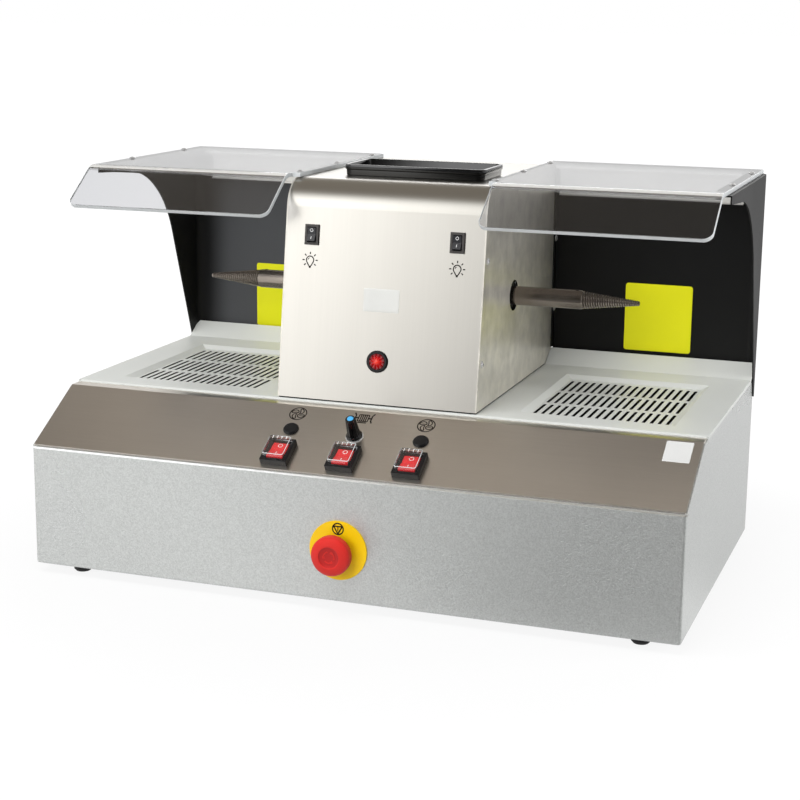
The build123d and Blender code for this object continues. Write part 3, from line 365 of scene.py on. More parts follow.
def finish(name, tone, rough, metal=0.0, film=(9.0, 0.06, 0.05), pebble=None, grain=None, **fixed):
    """Material: a tone and a roughness that clouds vary by film (size, tint, sheen), and a bump
    from a pebbled coat (size, depth, fleck) or a brushed grain (stretch, depth, streak). Other
    constants go to the shader's sockets of the same names."""
    material = bpy.data.materials.new(name)
    material.use_nodes = True
    tree = material.node_tree
    shader = tree.nodes["Principled BSDF"]
    place = add(tree, "TexCoord").outputs["Object"]
    size, tint, sheen = film
    cloud = placed(tree, uneven_film, {"Place": place, "Size": size})["Cloud"]
    tone = np.array(tone)
    darker = (*(tone[:3] * (1 - tint)).tolist(), 1.0)
    lighter = (*np.minimum(tone[:3] * (1 + tint), 1).tolist(), 1.0)
    shade = mixed(tree, cloud, darker, lighter)
    dullness = span(tree, cloud, max(rough - sheen, 0.02), rough + sheen)
    height = None
    if pebble:
        size, depth, fleck = pebble
        coat = placed(tree, pebble_coat, {"Place": place, "Size": size})
        height = coat["Height"]
        shade = scaled(tree, shade, span(tree, coat["Fleck"], 1 - fleck, 1 + fleck))
    if grain:
        stretch, depth, streak = grain
        brush = placed(tree, brushed_grain, {"Place": place, "Stretch": stretch})
        height = brush["Height"]
        dullness = sums(tree, "ADD", dullness, span(tree, brush["Streak"], -streak, streak))
        shade = scaled(tree, shade, span(tree, brush["Height"], 1 - 2 * streak, 1 + 2 * streak))
    if height is not None:
        bump = add(tree, "Bump", {"Height": height, "Strength": 1.0, "Distance": depth * MM})
        tree.links.new(bump.outputs[0], shader.inputs["Normal"])
    tree.links.new(shade, shader.inputs["Base Color"])
    tree.links.new(dullness, shader.inputs["Roughness"])
    shader.inputs["Metallic"].default_value = metal
    for key, value in fixed.items():
        shader.inputs[key.replace("_", " ")].default_value = value
    return material


def clear(name, tone, rough, film, gloss=0.5, scattered=False):
    """Clear plastic: clouds vary mainly how sharp things stay behind it. Lamps shine straight
    through it, and so does scattered light if that is asked for."""
    material = finish(name, tone, rough, 0.0, film, Specular_IOR_Level=gloss)
    tree = material.node_tree
    shader = tree.nodes["Principled BSDF"]
    shader.inputs["Transmission Weight"].default_value = 1.0
    shader.inputs["IOR"].default_value = 1.49
    path = add(tree, "LightPath").outputs
    straight = path["Is Shadow Ray"]
    if scattered:
        straight = sums(tree, "MAXIMUM", straight, path["Is Diffuse Ray"])
    through = add(tree, "BsdfTransparent", {"Color": (0.995, 0.995, 0.995, 1.0)}).outputs[0]
    mix = add(tree, "MixShader", {0: straight, 1: shader.outputs[0], 2: through})
    tree.links.new(mix.outputs[0], tree.nodes["Material Output"].inputs["Surface"])
    return material


front_grain = (700.0, 9.0, 9.0)
side_grain = (9.0, 420.0, 9.0)
level_grain = (12.0, 900.0, 900.0)
turning_grain = (480.0, 8.0, 8.0)
stacked_grain = (1800.0, 30.0, 30.0)

finishes = {
    "hammer_grey": finish(
        "hammer grey paint", colour(196, 198, 196), 0.3, 0.6, (4.0, 0.03, 0.05), (760.0, 0.3, 0.14)
    ),
    "deck_grey": finish(
        "deck grey paint", colour(213, 215, 211), 0.4, 0.0, (7.0, 0.02, 0.05), (1500.0, 0.05, 0.02)
    ),
    "stainless": finish(
        "panel steel", colour(246, 240, 232), 0.34, 1.0, (4.0, 0.07, 0.05),
        grain=(level_grain, 0.004, 0.02),
    ),
    "black_paint": finish(
        "black powder coat", colour(18, 18, 18), 0.52, 0.0, (5.0, 0.1, 0.05), (900.0, 0.06, 0.05),
        Specular_IOR_Level=0.25,
    ),
    "clear_acrylic": clear("clear acrylic", colour(216, 217, 220), 0.02, (12.0, 0.005, 0.01), 0.4),
    "aluminium": finish(
        "satin aluminium", colour(232, 230, 225), 0.36, 0.6, (9.0, 0.04, 0.05),
        grain=(level_grain, 0.01, 0.03),
    ),
    "opal": finish(
        "opal strip", colour(248, 246, 242), 0.4, 0.0, (20.0, 0.02, 0.05), (700.0, 0.01, 0.01)
    ),
    "rubber": finish(
        "black rubber", colour(20, 20, 20), 0.75, 0.0, (30.0, 0.15, 0.08), (2200.0, 0.05, 0.1)
    ),
    "zinc_plate": finish(
        "zinc plate", colour(168, 172, 176), 0.38, 1.0, (25.0, 0.12, 0.08), (160.0, 0.02, 0.15)
    ),
    "motor_grey": finish(
        "motor paint", colour(58, 62, 65), 0.5, 0.0, (14.0, 0.08, 0.06), (1100.0, 0.08, 0.06)
    ),
    "laminations": finish(
        "lamination steel", colour(96, 94, 92), 0.5, 1.0, (30.0, 0.1, 0.08),
        grain=(stacked_grain, 0.05, 0.05),
    ),
    "steel": finish(
        "turned steel", colour(150, 141, 132), 0.24, 1.0, (30.0, 0.04, 0.03),
        grain=(turning_grain, 0.002, 0.015),
    ),
    "screw_steel": finish("screw steel", colour(206, 206, 206), 0.3, 0.55, (200.0, 0.08, 0.08)),
    "bright_washer": finish("bright nickel", colour(236, 236, 236), 0.15, 0.5, (150.0, 0.05, 0.04)),
    "board": finish(
        "circuit board", colour(30, 92, 58), 0.4, 0.0, (60.0, 0.15, 0.08), (900.0, 0.03, 0.1)
    ),
    "filter_fibre": finish(
        "filter fibre", colour(12, 12, 12), 0.9, 0.0, (60.0, 0.3, 0.05), (700.0, 0.6, 0.3)
    ),
    "black_plastic": finish(
        "black moulded plastic", colour(24, 24, 25), 0.36, 0.0, (40.0, 0.1, 0.06),
        (1200.0, 0.02, 0.05), Specular_IOR_Level=0.35,
    ),
    "gloss_black": finish(
        "gloss black plastic", colour(12, 12, 13), 0.09, 0.0, (15.0, 0.1, 0.03),
        (200.0, 0.008, 0.05), Specular_IOR_Level=0.6,
    ),
    "red_plastic": finish(
        "red plastic", colour(224, 40, 46), 0.34, 0.0, (60.0, 0.06, 0.06), (1200.0, 0.02, 0.04)
    ),
    "yellow_plastic": finish(
        "yellow plastic", colour(255, 210, 4), 0.5, 0.0, (30.0, 0.03, 0.05), (1500.0, 0.02, 0.02)
    ),
    "blue_plastic": finish("blue cap plastic", colour(80, 172, 228), 0.3, 0.0, (200.0, 0.06, 0.05)),
    "red_lens": finish("red lens", colour(112, 4, 12), 0.05, 0.0, (120.0, 0.1, 0.02)),
}


def recolour(material, mask_of, shade):
    """Lay a second colour over a material where a mask of the Object place is one."""
    tree = material.node_tree
    base = tree.nodes["Principled BSDF"].inputs["Base Color"]
    place = add(tree, "TexCoord").outputs["Object"]
    mask = mask_of(tree, add(tree, "SeparateXYZ", {0: place}).outputs)
    tree.links.new(mixed(tree, mask, base.links[0].from_socket, shade), base)


def slot_wall_shade(tree, way):
    """Walls of the deck's slots, just under the recess floor inside the recesses: painted shade,
    near black.
    """
    floor_low = 182.55 * MM
    floor_high = 182.95 * MM
    recess_end = 310.0 * MM
    recess_front = -80.0 * MM
    below = span(tree, faded(tree, way["Z"], floor_low, floor_high), 1.0, 0.0)
    within = sums(tree, "LESS_THAN", sums(tree, "ABSOLUTE", way["X"], 0.0), recess_end)
    behind = sums(tree, "GREATER_THAN", way["Y"], recess_front)
    return times(tree, below, within, behind)


def painted_fold(tree, way):
    """Rounded fold at the top of the front wall, where painted shade and a painted highlight are
    laid.
    """
    ahead = sums(tree, "LESS_THAN", way["Y"], (front_y + 8.0) * MM)
    risen = faded(tree, way["Z"], (panel_foot_z - 1.9) * MM, (panel_foot_z - 1.1) * MM)
    flat = faded(tree, way["Z"], (panel_foot_z - 0.1) * MM, (panel_foot_z + 0.4) * MM)
    return times(tree, sums(tree, "SUBTRACT", risen, flat), ahead)


def fold_highlight(tree, way):
    """The same fold, fading out towards the right: a painted highlight."""
    fading = span(tree, faded(tree, way["X"], -200.0 * MM, 150.0 * MM), 1.0, 0.0)
    return times(tree, painted_fold(tree, way), fading)


def panel_lip_shade(tree, way):
    """Narrow strip of the slope between the front fold and the panel, painted darker as shade along
    the panel's lower edge.
    """
    slope_end = -100.0 * MM
    risen = faded(tree, way["Z"], (panel_foot_z + 0.2) * MM, (panel_foot_z + 0.7) * MM)
    inside = (half_width - 2.0) * MM
    within = sums(tree, "LESS_THAN", sums(tree, "ABSOLUTE", way["X"], 0.0), inside)
    ahead = sums(tree, "LESS_THAN", way["Y"], slope_end)
    return times(tree, risen, within, ahead)


def shaded_hole_rims(tree, way):
    """Rims of the spindle holes, near the spindle axis: painted near black as shade in and round
    the holes.
    """
    rim = 16.3 * MM
    across = sums(tree, "SUBTRACT", way["Y"], spindle_y * MM)
    above = sums(tree, "SUBTRACT", way["Z"], spindle_z * MM)
    reach = sums(tree, "ADD", sums(tree, "POWER", across, 2.0), sums(tree, "POWER", above, 2.0))
    return sums(tree, "LESS_THAN", reach, rim**2)


def housing_bend_shade(tree, way):
    """Top of the housing with its rounded edge, painted darker than the front: painted shade in
    place of the dimmer reflection there.
    """
    return faded(tree, way["Z"], (housing_top - 24.5) * MM, (housing_top - 12.5) * MM)


def left_back_highlight(tree, way):
    """Middle of the left hood's back, seen from the front, where it catches more light: the lighter
    colour laid here is a painted highlight.
    """
    inner_face = (hood_back_y + 0.6) * MM
    rising = faded(tree, way["X"], -335.0 * MM, -295.0 * MM)
    falling = faded(tree, way["X"], -200.0 * MM, -100.0 * MM)
    inside = sums(tree, "LESS_THAN", way["Y"], inner_face)
    return times(tree, sums(tree, "SUBTRACT", rising, falling), inside)


def shaded_left_half(tree, way):
    """Everything left of the middle, where the yellow plate is painted darker as painted shade,
    against the stronger light on the left plate.
    """
    return sums(tree, "LESS_THAN", way["X"], 0.0)


# Painted shade: the deck's slot walls near black
recolour(finishes["deck_grey"], slot_wall_shade, colour(14, 14, 13))
# Painted highlight: a lighter patch on the left hood's back
recolour(finishes["black_paint"], left_back_highlight, colour(72, 73, 75))
# Painted shade: the slope strip under the panel's edge darker
recolour(finishes["hammer_grey"], panel_lip_shade, colour(150, 149, 146))
# Painted shade: the front fold darker
recolour(finishes["hammer_grey"], painted_fold, colour(168, 166, 160))
# Painted highlight: a near white line on the front fold, fading out to the right
recolour(finishes["hammer_grey"], fold_highlight, colour(246, 247, 248))

# Roughness stays above 0.275: where it falls below, denoising leaves lines in smooth steel
brushed_housing = finish(
    "brushed housing steel", colour(207, 204, 197), 0.3, 1.0, (4.0, 0.04, 0.01),
    grain=(front_grain, 0.0008, 0.012),
)
brushed_side = finish(
    "brushed side steel", colour(214, 210, 201), 0.32, 0.5, (60.0, 0.14, 0.02),
    grain=(side_grain, 0.002, 0.05),
)
# Painted shade: the housing's top bend darker, in place of its dimmer reflection
recolour(brushed_housing, housing_bend_shade, colour(181, 179, 173))
# Painted shade: near black in and round the spindle holes
recolour(brushed_side, shaded_hole_rims, colour(14, 14, 14))
black_print = finish(
    "black print", colour(34, 29, 26), 0.7, 0.0, (90.0, 0.1, 0.06), Specular_IOR_Level=0.2
)
# White print for the rocker marks; the same colour makes the painted highlights on the switch
# covers
white_print_and_highlight = finish("white print and painted highlight", colour(240, 240, 238), 0.5, 0.0, (90.0, 0.03, 0.06))
plate_yellow = finish(
    "yellow plate", colour(238, 236, 14), 0.5, 0.0, (20.0, 0.02, 0.05), (1800.0, 0.01, 0.02)
)
# Painted shade: the left yellow plate darker, against the stronger light there
recolour(plate_yellow, shaded_left_half, colour(228, 228, 14))
label_white = finish("white label", colour(216, 216, 214), 0.42, 0.0, (40.0, 0.02, 0.05))
label_pale = finish("pale label", colour(218, 218, 214), 0.42, 0.0, (40.0, 0.03, 0.05))
# Pale sawn edge of the shields; on the switch covers' rims the same colour is a painted highlight
acrylic_edge_and_highlight = finish(
    "sawn acrylic edge and painted highlight", colour(208, 211, 212), 0.35, 0.0, (90.0, 0.05, 0.08), (1500.0, 0.03, 0.05)
)
cover_clear = clear(
    "clear switch cover", colour(250, 250, 250), 0.04, (60.0, 0.005, 0.02), 1.0, True
)
# Painted shade in the thread roots
thread_root_shade = finish("painted thread root shade", colour(92, 86, 80), 0.5, 0.6, (200.0, 0.1, 0.05))
# Painted highlight: pale opaque band on top of the shields' bends
painted_bend_highlight = finish(
    "painted bend highlight", colour(240, 238, 234), 0.3, 0.0, (12.0, 0.02, 0.04), Transmission_Weight=0.4
)
switch_frame = finish(
    "switch frame plastic", colour(60, 57, 55), 0.45, 0.0, (60.0, 0.08, 0.05), (1200.0, 0.02, 0.05)
)
switch_rocker = finish(
    "switch rocker plastic", colour(40, 40, 43), 0.22, 0.0, (60.0, 0.08, 0.05), (1200.0, 0.01, 0.05)
)
socket_dark = finish("socket shadow", colour(22, 22, 22), 0.5, 0.5, (200.0, 0.1, 0.05))
stop_red = finish(
    "stop button red", colour(214, 46, 40), 0.45, 0.0, (40.0, 0.05, 0.05), (1800.0, 0.02, 0.03),
    Specular_IOR_Level=0.3,
)
stop_dark_red = finish(
    "stop button dish", colour(184, 38, 36), 0.5, 0.0, (60.0, 0.05, 0.05), (1800.0, 0.03, 0.03),
    Specular_IOR_Level=0.3,
)

node_finish = {
    "housing_wrap": brushed_housing,
    "housing_rear_cover": brushed_housing,
    "light_switch_bodies": switch_frame,
}
edge_round = {"light_switch_bodies": 0.3, "cable_gland": 0.4}
for word in sides:
    node_finish["housing_side_" + word] = brushed_side
    node_finish["light_rocker_" + word] = switch_rocker
    edge_round["light_rocker_" + word] = 0.25
for word in switch_x:
    edge_round[word + "_switch_body"] = 0.5
    edge_round[word + "_rocker"] = 0.4


def soften(shown, width):
    """Round the sharp edges of a model node with live modifiers; its own mesh is untouched."""
    weld = shown.modifiers.new("join", "WELD")
    weld.merge_threshold = 1e-5
    bevel = shown.modifiers.new("soften", "BEVEL")
    bevel.width = width * MM
    bevel.segments = 2
    bevel.limit_method = "ANGLE"
    bevel.angle_limit = math.radians(40)
    bevel.use_clamp_overlap = False
    bevel.harden_normals = True


for name, shown in nodes.items():
    slot = shown.material_slots[0].material.name.split(".")[0]
    shown.material_slots[0].material = node_finish.get(name, finishes[slot])
    if name in edge_round:
        soften(shown, edge_round[name])


# Clear shields

def shield(word, side):
    """Bent clear sheet: a rounded rectangle section carried down the sheet's middle line.
    Over the housing the sheet ends in a tab; the visor's lower corners are arcs of the lip
    distance, and the middle of the bend carries a painted highlight."""
    thick = 4.5
    half = thick / 2
    edge = 0.5
    inner = 101.5
    outer = half_width - 3.0
    step = 8.5
    step_length = 0.4
    corner = 10.0
    bend_radius = 20.0
    tab = hood_back_y - (front_y + 147.5)
    top = np.array([front_y + 131.5, 415.0])
    visor = np.array([-51.5, -37.0])

    # Middle line of the sheet, and the places along it where a ring of the section stands
    drop = unit(visor)
    under = np.array([drop[1], -drop[0]]) * half
    mitre = half * math.tan(0.5 * math.acos(-drop[0]))
    start = np.array([hood_back_y, top[1] - half])
    fold = top + np.array([mitre, -half])
    tip = top + visor - under
    line = rounded([start, fold, tip], [0, bend_radius + half, 0], steps=16)
    travel = np.concatenate([[0], np.cumsum(np.linalg.norm(np.diff(line, axis=0), axis=1))])
    length = travel[-1]
    lip = corner * (1 - np.cos(np.linspace(0, math.pi / 2, 14)))
    quarter = np.linspace(0, math.pi / 2, 4)
    edge_steps = edge * (1 - np.sin(quarter))[::-1]
    stations = np.concatenate(
        [
            edge_steps,
            [tab - step_length, tab],
            travel[1:-1],
            length - corner - np.array([20.0, 10.0]),
            length - lip,
            length - edge_steps,
        ]
    )
    stations = np.unique(np.round(stations, 5))
    at = np.column_stack([np.interp(stations, travel, way) for way in line.T])
    ahead = unit(np.gradient(at, stations, axis=0))
    normal = np.column_stack([ahead[:, 1], -ahead[:, 0]])
    normal *= np.sign(normal[:, 1:])

    # Both ends of each ring, drawn in at the visor's corners, and the softened rim
    from_lip = length - stations
    short = np.clip(corner - from_lip, 0, corner)
    draw = corner - np.sqrt(corner**2 - short**2)
    near_end = np.minimum(stations, from_lip)
    dip = np.clip(edge - near_end, 0, edge)
    fall = edge - np.sqrt(np.maximum(edge**2 - dip**2, 0))
    low_x = inner + step * np.clip((stations - tab + step_length) / step_length, 0, 1) + draw
    high_x = outer - draw
    bow = edge * (1 - np.cos(quarter))
    rise = edge * np.sin(quarter)
    inset = np.concatenate([bow[::-1], bow, bow[::-1], bow])
    ends = half - edge
    level = np.concatenate([ends + rise[::-1], -ends - rise, -ends - rise[::-1], ends + rise])
    at_low = np.repeat([True, False], 8)
    x = np.where(at_low, low_x[:, None] + inset, high_x[:, None] - inset)
    reach = (half - fall)[:, None]
    lift = np.clip(level, -reach, reach)
    y = at[:, :1] + normal[:, :1] * lift
    z = at[:, 1:] + normal[:, 1:] * lift
    rings = capped(np.stack([side * x, y, z], -1))
    points, quads = grid(rings, False, True)

    # Material 0 is the sheet, 1 its sawn edges and 2 a painted highlight on top of the bend
    bends = (stations > travel[1] + 2.5) & (stations < travel[-2] - 4.0)
    number = np.zeros((rings.shape[0] - 1, rings.shape[1]), int)
    number[1:-1, 15] = np.where(bends[:-1] & bends[1:], 2, 0)
    number[:, 0:7] = 1
    number[:, 8:15] = 1
    number[:3] = 1
    number[-3:] = 1
    piece(
        "shield_sheet_" + word, [(points, quads, number.ravel())],
        [finishes["clear_acrylic"], acrylic_edge_and_highlight, painted_bend_highlight], "machine",
        ["shield_" + word], 10,
    )


# Spindles

def spindle(word, side):
    """Shank and long screw taper: the radius falls along the axis, and a ridge that goes on
    by one pitch for each turn of the angle stands on the taper, its root painted darker as shade."""
    pitch = 2.5
    taper_step = 0.25
    flank = 1.6
    root_flat = 0.3
    ridge_seat = 0.75
    run_out = 2.0
    start = 182.0
    stop = 241.0
    count = 72
    head = np.array([96.0, 96.0, 110.0, 110.0, 110.6, 181.0, 181.6])
    head_radius = np.array([7.6, 9.5, 9.5, 9.6, 10.0, 10.0, 9.8])
    tail = np.array([241.0, 241.5, 241.8])
    tail_radius = np.array([2.4, 2.0, 1.2])
    taper = np.arange(start, stop, taper_step)
    angle = around(count)
    root = np.interp(taper, [start, stop], [9.4, 2.5])
    phase = (taper[:, None] / pitch - angle / (2 * math.pi)) % 1.0
    ridge = np.clip(flank * (1 - np.abs(2 * phase - 1)) - root_flat, 0, 1)
    fade = np.clip((taper - start) / run_out, 0, 1) * np.clip((stop - taper) / run_out, 0.2, 1)
    depth = np.interp(taper, [start, stop], [1.1, 0.6]) * fade
    screw = root[:, None] + depth[:, None] * (ridge - ridge_seat)
    ring = np.ones(count)
    radius = np.vstack([head_radius[:, None] * ring, screw, tail_radius[:, None] * ring])
    along = np.concatenate([head, taper, tail])[:, None] * ring
    y = spindle_y + radius * np.cos(angle)
    z = spindle_z + radius * np.sin(angle)
    points, quads = grid(capped(np.stack([side * along, y, z], -1)), False, True)
    number = np.zeros((len(along) + 1, count), int)
    first = len(head) + 1
    number[first:first + len(taper) - 1] = np.where(ridge[:-1] + ridge[1:] < 0.5, 2, 0)
    grub_profile = [
        (0, 0), (2.2, 0), (2.2, 0.62), (1.9, 0.75), (1.3, 0.75), (1.3, 0.3), (0, 0.3),
    ]
    grub_place = face((side * 176.0, spindle_y, spindle_z + 9.5), (0, 0, 1))
    piece(
        "threaded_spindle_" + word,
        [(points, quads, number.ravel()), tube(turned(grub_profile, 24), grub_place, number=1)],
        [finishes["steel"], socket_dark, thread_root_shade], "spindle", ["spindle_" + word], 28,
    )


def dust_washer(word, side):
    """Flat ring behind the hole in the side plate: a rectangle turned about the spindle axis."""
    bore = 10.4
    rim = 19.0
    near = 103.6
    far = 104.4
    profile = np.array([(bore, near), (rim, near), (rim, far), (bore, far)])
    angle = around(64)
    y = spindle_y + profile[:, :1] * np.cos(angle)
    z = spindle_z + profile[:, :1] * np.sin(angle)
    along = np.broadcast_to(side * profile[:, 1:], y.shape)
    points, quads = grid(np.stack([along, y, z], -1), True, True)
    piece("dust_washer_" + word, [(points, quads, 0)], [finishes["rubber"]], "machine")


for word, side in sides.items():
    shield(word, side)
    spindle(word, side)
    dust_washer(word, side)


# Screw heads and nuts

def hexed(radius, angle):
    """Distance to the side of a hexagon whose flats are at the given radius."""
    sector = (angle + math.pi / 6) % (math.pi / 3) - math.pi / 6
    return radius / np.cos(sector)


def button_head():
    """Domed screw head: rings run from the middle of a hexagon socket, up its wall, over
    a dome that falls as a power of the radius, and down to the seat."""
    radius = 3.5
    height = 1.8
    rim = 0.5
    socket = 1.25
    floor = 0.7
    angle = around(24)
    ring = np.ones(24)
    hexagon = hexed(socket, angle)
    part = np.array([0.0, 0.35, 0.7, 0.92, 1.0])[:, None]
    dome = hexagon * (1 - part) + radius * part
    dome_level = height - (height - rim) * (dome / radius) ** 2.6
    reach = np.vstack([0 * ring, hexagon, dome, radius * ring, 0 * ring])
    level = np.vstack([floor * ring, floor * ring, dome_level, 0 * ring, 0 * ring])
    return np.stack([reach * np.cos(angle), reach * np.sin(angle), level], -1)


def solids_of(name):
    """Boxes (low, high) in millimetres of a node's separate small solids."""
    apart = 12.0
    shown = nodes[name].data
    left = np.empty(len(shown.vertices) * 3, np.float32)
    shown.vertices.foreach_get("co", left)
    left = left.reshape(-1, 3) / MM
    boxes = []
    while len(left):
        near = np.linalg.norm(left - left[0], axis=1) < apart
        boxes.append((left[near].min(0), left[near].max(0)))
        left = left[~near]
    return boxes


def screws(word):
    """Button heads on the seats of a node's screws, each axis along its thinnest side. They
    face right, back or up, but left on the left side and down under the cabinet."""
    head = button_head()
    parts = []
    for low, high in solids_of(word + "_screws"):
        middle = (low + high) / 2
        axis = int(np.argmin(high - low))
        out = np.zeros(3)
        out[axis] = 1.0
        if axis == 0 and middle[0] < 0 or axis == 2 and middle[2] < 100:
            out[axis] = -1.0
        seat = middle - out * (high - low)[axis] / 2
        across = np.roll(np.abs(out), 1)
        parts.append(tube(head, face(seat, out, across)))
    piece(
        word + "_button_heads", parts, [finishes["screw_steel"]], "machine",
        [word + "_screws"], 40,
    )


for word in ("housing", "shield", "hood", "cabinet"):
    screws(word)


def flange_nuts():
    """Hexagon nuts with the screw ends under the hood flanges, one below each outer screw."""
    flange = 1.5
    angle = around(24)
    ring = np.ones(24)
    hexagon = hexed(3.5, angle)
    reach = np.stack([0 * ring, hexagon, hexagon, 3.3 * ring, 2.0 * ring, 2.0 * ring, 0 * ring])
    level = np.array([0.0, 0.0, 2.4, 3.0, 3.0, 4.4, 4.4])[:, None] * ring
    nut = np.stack([reach * np.cos(angle), reach * np.sin(angle), level], -1)
    parts = []
    for low, high in solids_of("shield_screws"):
        x, y = ((low + high) / 2)[:2]
        if abs(x) > 300:
            parts.append(tube(nut, face((x, y, housing_top - flange), (0, 0, -1))))
    piece("flange_nuts", parts, [finishes["screw_steel"]], "machine", (), 40)


flange_nuts()


# Tool tray, switch covers, knob, stop head and lamp lens; profiles are (inset or radius, height)

tray_low, tray_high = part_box("tool_tray")
tray_centre = np.array((tray_low + tray_high) / 2) / MM
tray_size = np.array(tray_high - tray_low) / MM
tray_profile = [
    (2.6, 0.0), (1.8, 0.3), (1.5, 1.0), (1.2, 5.8), (0.3, 6.5),
    (0.0, 7.0), (0.0, 10.8), (0.25, 11.3), (0.8, 11.5), (2.6, 11.5),
    (3.1, 11.2), (3.3, 10.6), (3.9, 3.6), (4.4, 2.8), (5.4, 2.5),
]
tray = boxed(tray_size[0], tray_size[1], 9.0, tray_profile)
tray_seat = face((tray_centre[0], tray_centre[1], housing_top), (0, 0, 1))
piece(
    "tool_tray_moulding", [tube(tray, tray_seat)], [finishes["gloss_black"]], "tool_tray",
    ["tool_tray"],
)

cover_profile = [
    (6.0, 13.0), (1.5, 13.0), (0.8, 12.85), (0.25, 12.4), (0.0, 11.7), (0.0, 6.5),
    (1.0, 6.5), (1.0, 11.4), (1.2, 11.8), (1.7, 12.0), (6.0, 12.0),
]
cover = boxed(23.2, 26.8, 2.4, cover_profile)
# Rows 3 and 6, the rounded top edge and the bottom rim, get the pale edge colour: a painted
# highlight on the clear cover
rim_highlight_rows = np.zeros(len(cover_profile) + 1, int)
rim_highlight_rows[[3, 6]] = 1
cover_number = np.repeat(rim_highlight_rows, cover.shape[1])
cover_parts = []
for x in switch_x.values():
    cover_parts.append(tube(cover, panel_face, x, switch_u, number=cover_number))
piece(
    "switch_cover_caps", cover_parts, [cover_clear, acrylic_edge_and_highlight], "machine",
    ["switch_covers"], 10,
)


def fluted_knob():
    """Tall control knob: a turned profile whose radius dips in even flutes above the skirt."""
    flutes = 18
    depth = 0.42
    count = 144
    profile = np.array(
        [
            (0.0, 5.6), (4.5, 5.6), (4.5, 3.4), (6.3, 3.4), (6.3, 1.2),
            (8.0, 1.2), (8.25, 1.5), (8.25, 2.8), (8.0, 3.2), (7.1, 4.4),
            (6.6, 6.0), (6.2, 10.0), (5.8, 15.0), (5.4, 20.0), (5.2, 23.4),
            (5.1, 24.2), (4.8, 24.6), (3.25, 24.6), (3.25, 23.4), (0.0, 23.4),
        ]
    )
    shape = turned(profile, count)
    reach, height = profile.T
    deep = np.where((height > 4) & (height < 24.4) & (reach > 4.6), depth, 0.0)
    flute = np.clip(np.cos(flutes * around(count)), 0, 1) ** 0.7
    scale = 1 - deep[:, None] * flute / np.maximum(reach[:, None], 1.0)
    shape[..., :2] *= scale[..., None]
    piece(
        "fluted_knob", [tube(shape, panel_face, *knob_place)], [finishes["gloss_black"]], "knob",
        ["speed_knob"], 40,
    )


fluted_knob()


def stop_head():
    """Mushroom head: a turned profile with a darker dish, and three bent arrows in the dish."""
    count = 96
    arrow_reach = 5.6
    arrow_height = 0.7
    dish = 25.3
    profile = [
        (0.0, 22.2), (6.05, 22.2), (6.05, 13.5), (18.0, 13.5), (19.2, 13.9),
        (19.8, 14.8), (20.0, 16.0), (20.0, 21.5), (19.8, 22.8), (19.1, 24.2),
        (17.8, 25.4), (16.0, 26.2), (13.0, 26.9), (11.4, 27.2), (10.9, 27.15),
        (10.5, 26.95), (10.0, 26.4), (8.6, 25.9), (5.0, 25.6), (0.0, 25.5),
    ]
    number = np.repeat(np.array([0] * 15 + [1] * 4), count)
    parts = [tube(turned(profile, count), stop_face, number=number)]
    for turn in (90, 210, 330):
        bow = band(arc(arrow_reach, turn + 12, turn + 82, count=12), 1.3, arrow_height)
        tip = band(arc(arrow_reach, turn + 78, turn + 104, count=2), 2.4, arrow_height)
        for points, quads in (bow, tip):
            parts.append((put(points, stop_face, 0, 0, dish), quads, 0))
    piece(
        "stop_head_cap", parts, [stop_red, stop_dark_red], "stop_head",
        ["stop_head"], 40,
    )


stop_head()


def lens_painted_glow(low, high):
    """Mask round the lamp's middle for a painted glow on the unlit lens: one within the low
    distance, nothing past the high one, both in millimetres."""
    middle = put(np.zeros(3), front_face, 0.0, lamp_up, 2.0) * MM

    def mask(tree, way):
        place = add(tree, "CombineXYZ", {0: way["X"], 1: way["Y"], 2: way["Z"]}).outputs[0]
        away = add(tree, "VectorMath", {0: place, 1: middle}, operation="DISTANCE")
        return span(tree, faded(tree, away.outputs["Value"], low * MM, high * MM), 1.0, 0.0)

    return mask


def lamp_lens():
    """Red lens: a low dome round a raised middle, cut by ten flutes. Their depth follows the
    size of the sine of five times the turn angle, and is greatest about three quarters of
    the way out."""
    count = 100
    profile = np.array(
        [
            (0.0, 0.5), (8.3, 0.5), (8.3, 1.6), (7.9, 2.1), (7.0, 2.5), (5.8, 2.7),
            (4.4, 2.9), (3.2, 3.0), (2.4, 3.05), (1.2, 3.1), (0.0, 3.1),
        ]
    )
    shape = turned(profile, count)
    ripple = np.interp(profile[:, 0], [2.4, 4.0, 6.0, 7.9], [0.0, 0.9, 1.1, 0.0])
    ripple[:3] = 0.0
    shape[..., 2] -= ripple[:, None] * np.abs(np.sin(5 * around(count)))
    piece(
        "lamp_lens_fluted", [tube(shape, front_face, 0.0, lamp_up)], [finishes["red_lens"]],
        "machine", ["lamp_lens"], 30,
    )


# Painted glow: the lens lighter and redder towards its middle, though the lamp is not lit
recolour(finishes["red_lens"], lens_painted_glow(4.0, 7.6), colour(192, 16, 20))
recolour(finishes["red_lens"], lens_painted_glow(0.8, 4.2), colour(238, 62, 44))
lamp_lens()


# Signs printed on the faces, and bare plates

def sign(name, bands, place, x, u, height=0.0, ink=black_print):
    """Printed sign from flat strips, moved to its place on a face."""
    parts = []
    for points, quads in bands:
        parts.append((put(points, place, x, u, height), quads, 0))
    piece(name, parts, [ink], "machine")


def fan_bands():
    """Fan: a ring and four swept petals, each a loop out to the rim and back."""
    bands = [band(circle(8.8), 1.15, closed=True)]
    turn = np.linspace(0, 2 * math.pi, 40, endpoint=False)
    reach = 1.4 + 3.1 * (1 - np.cos(turn))
    for quarter in range(4):
        angle = quarter * math.pi / 2 + 0.5 * np.sin(turn) + 0.16 * reach
        petal = np.column_stack([reach * np.cos(angle), reach * np.sin(angle)])
        bands.append(band(petal, 1.05, closed=True))
    return bands


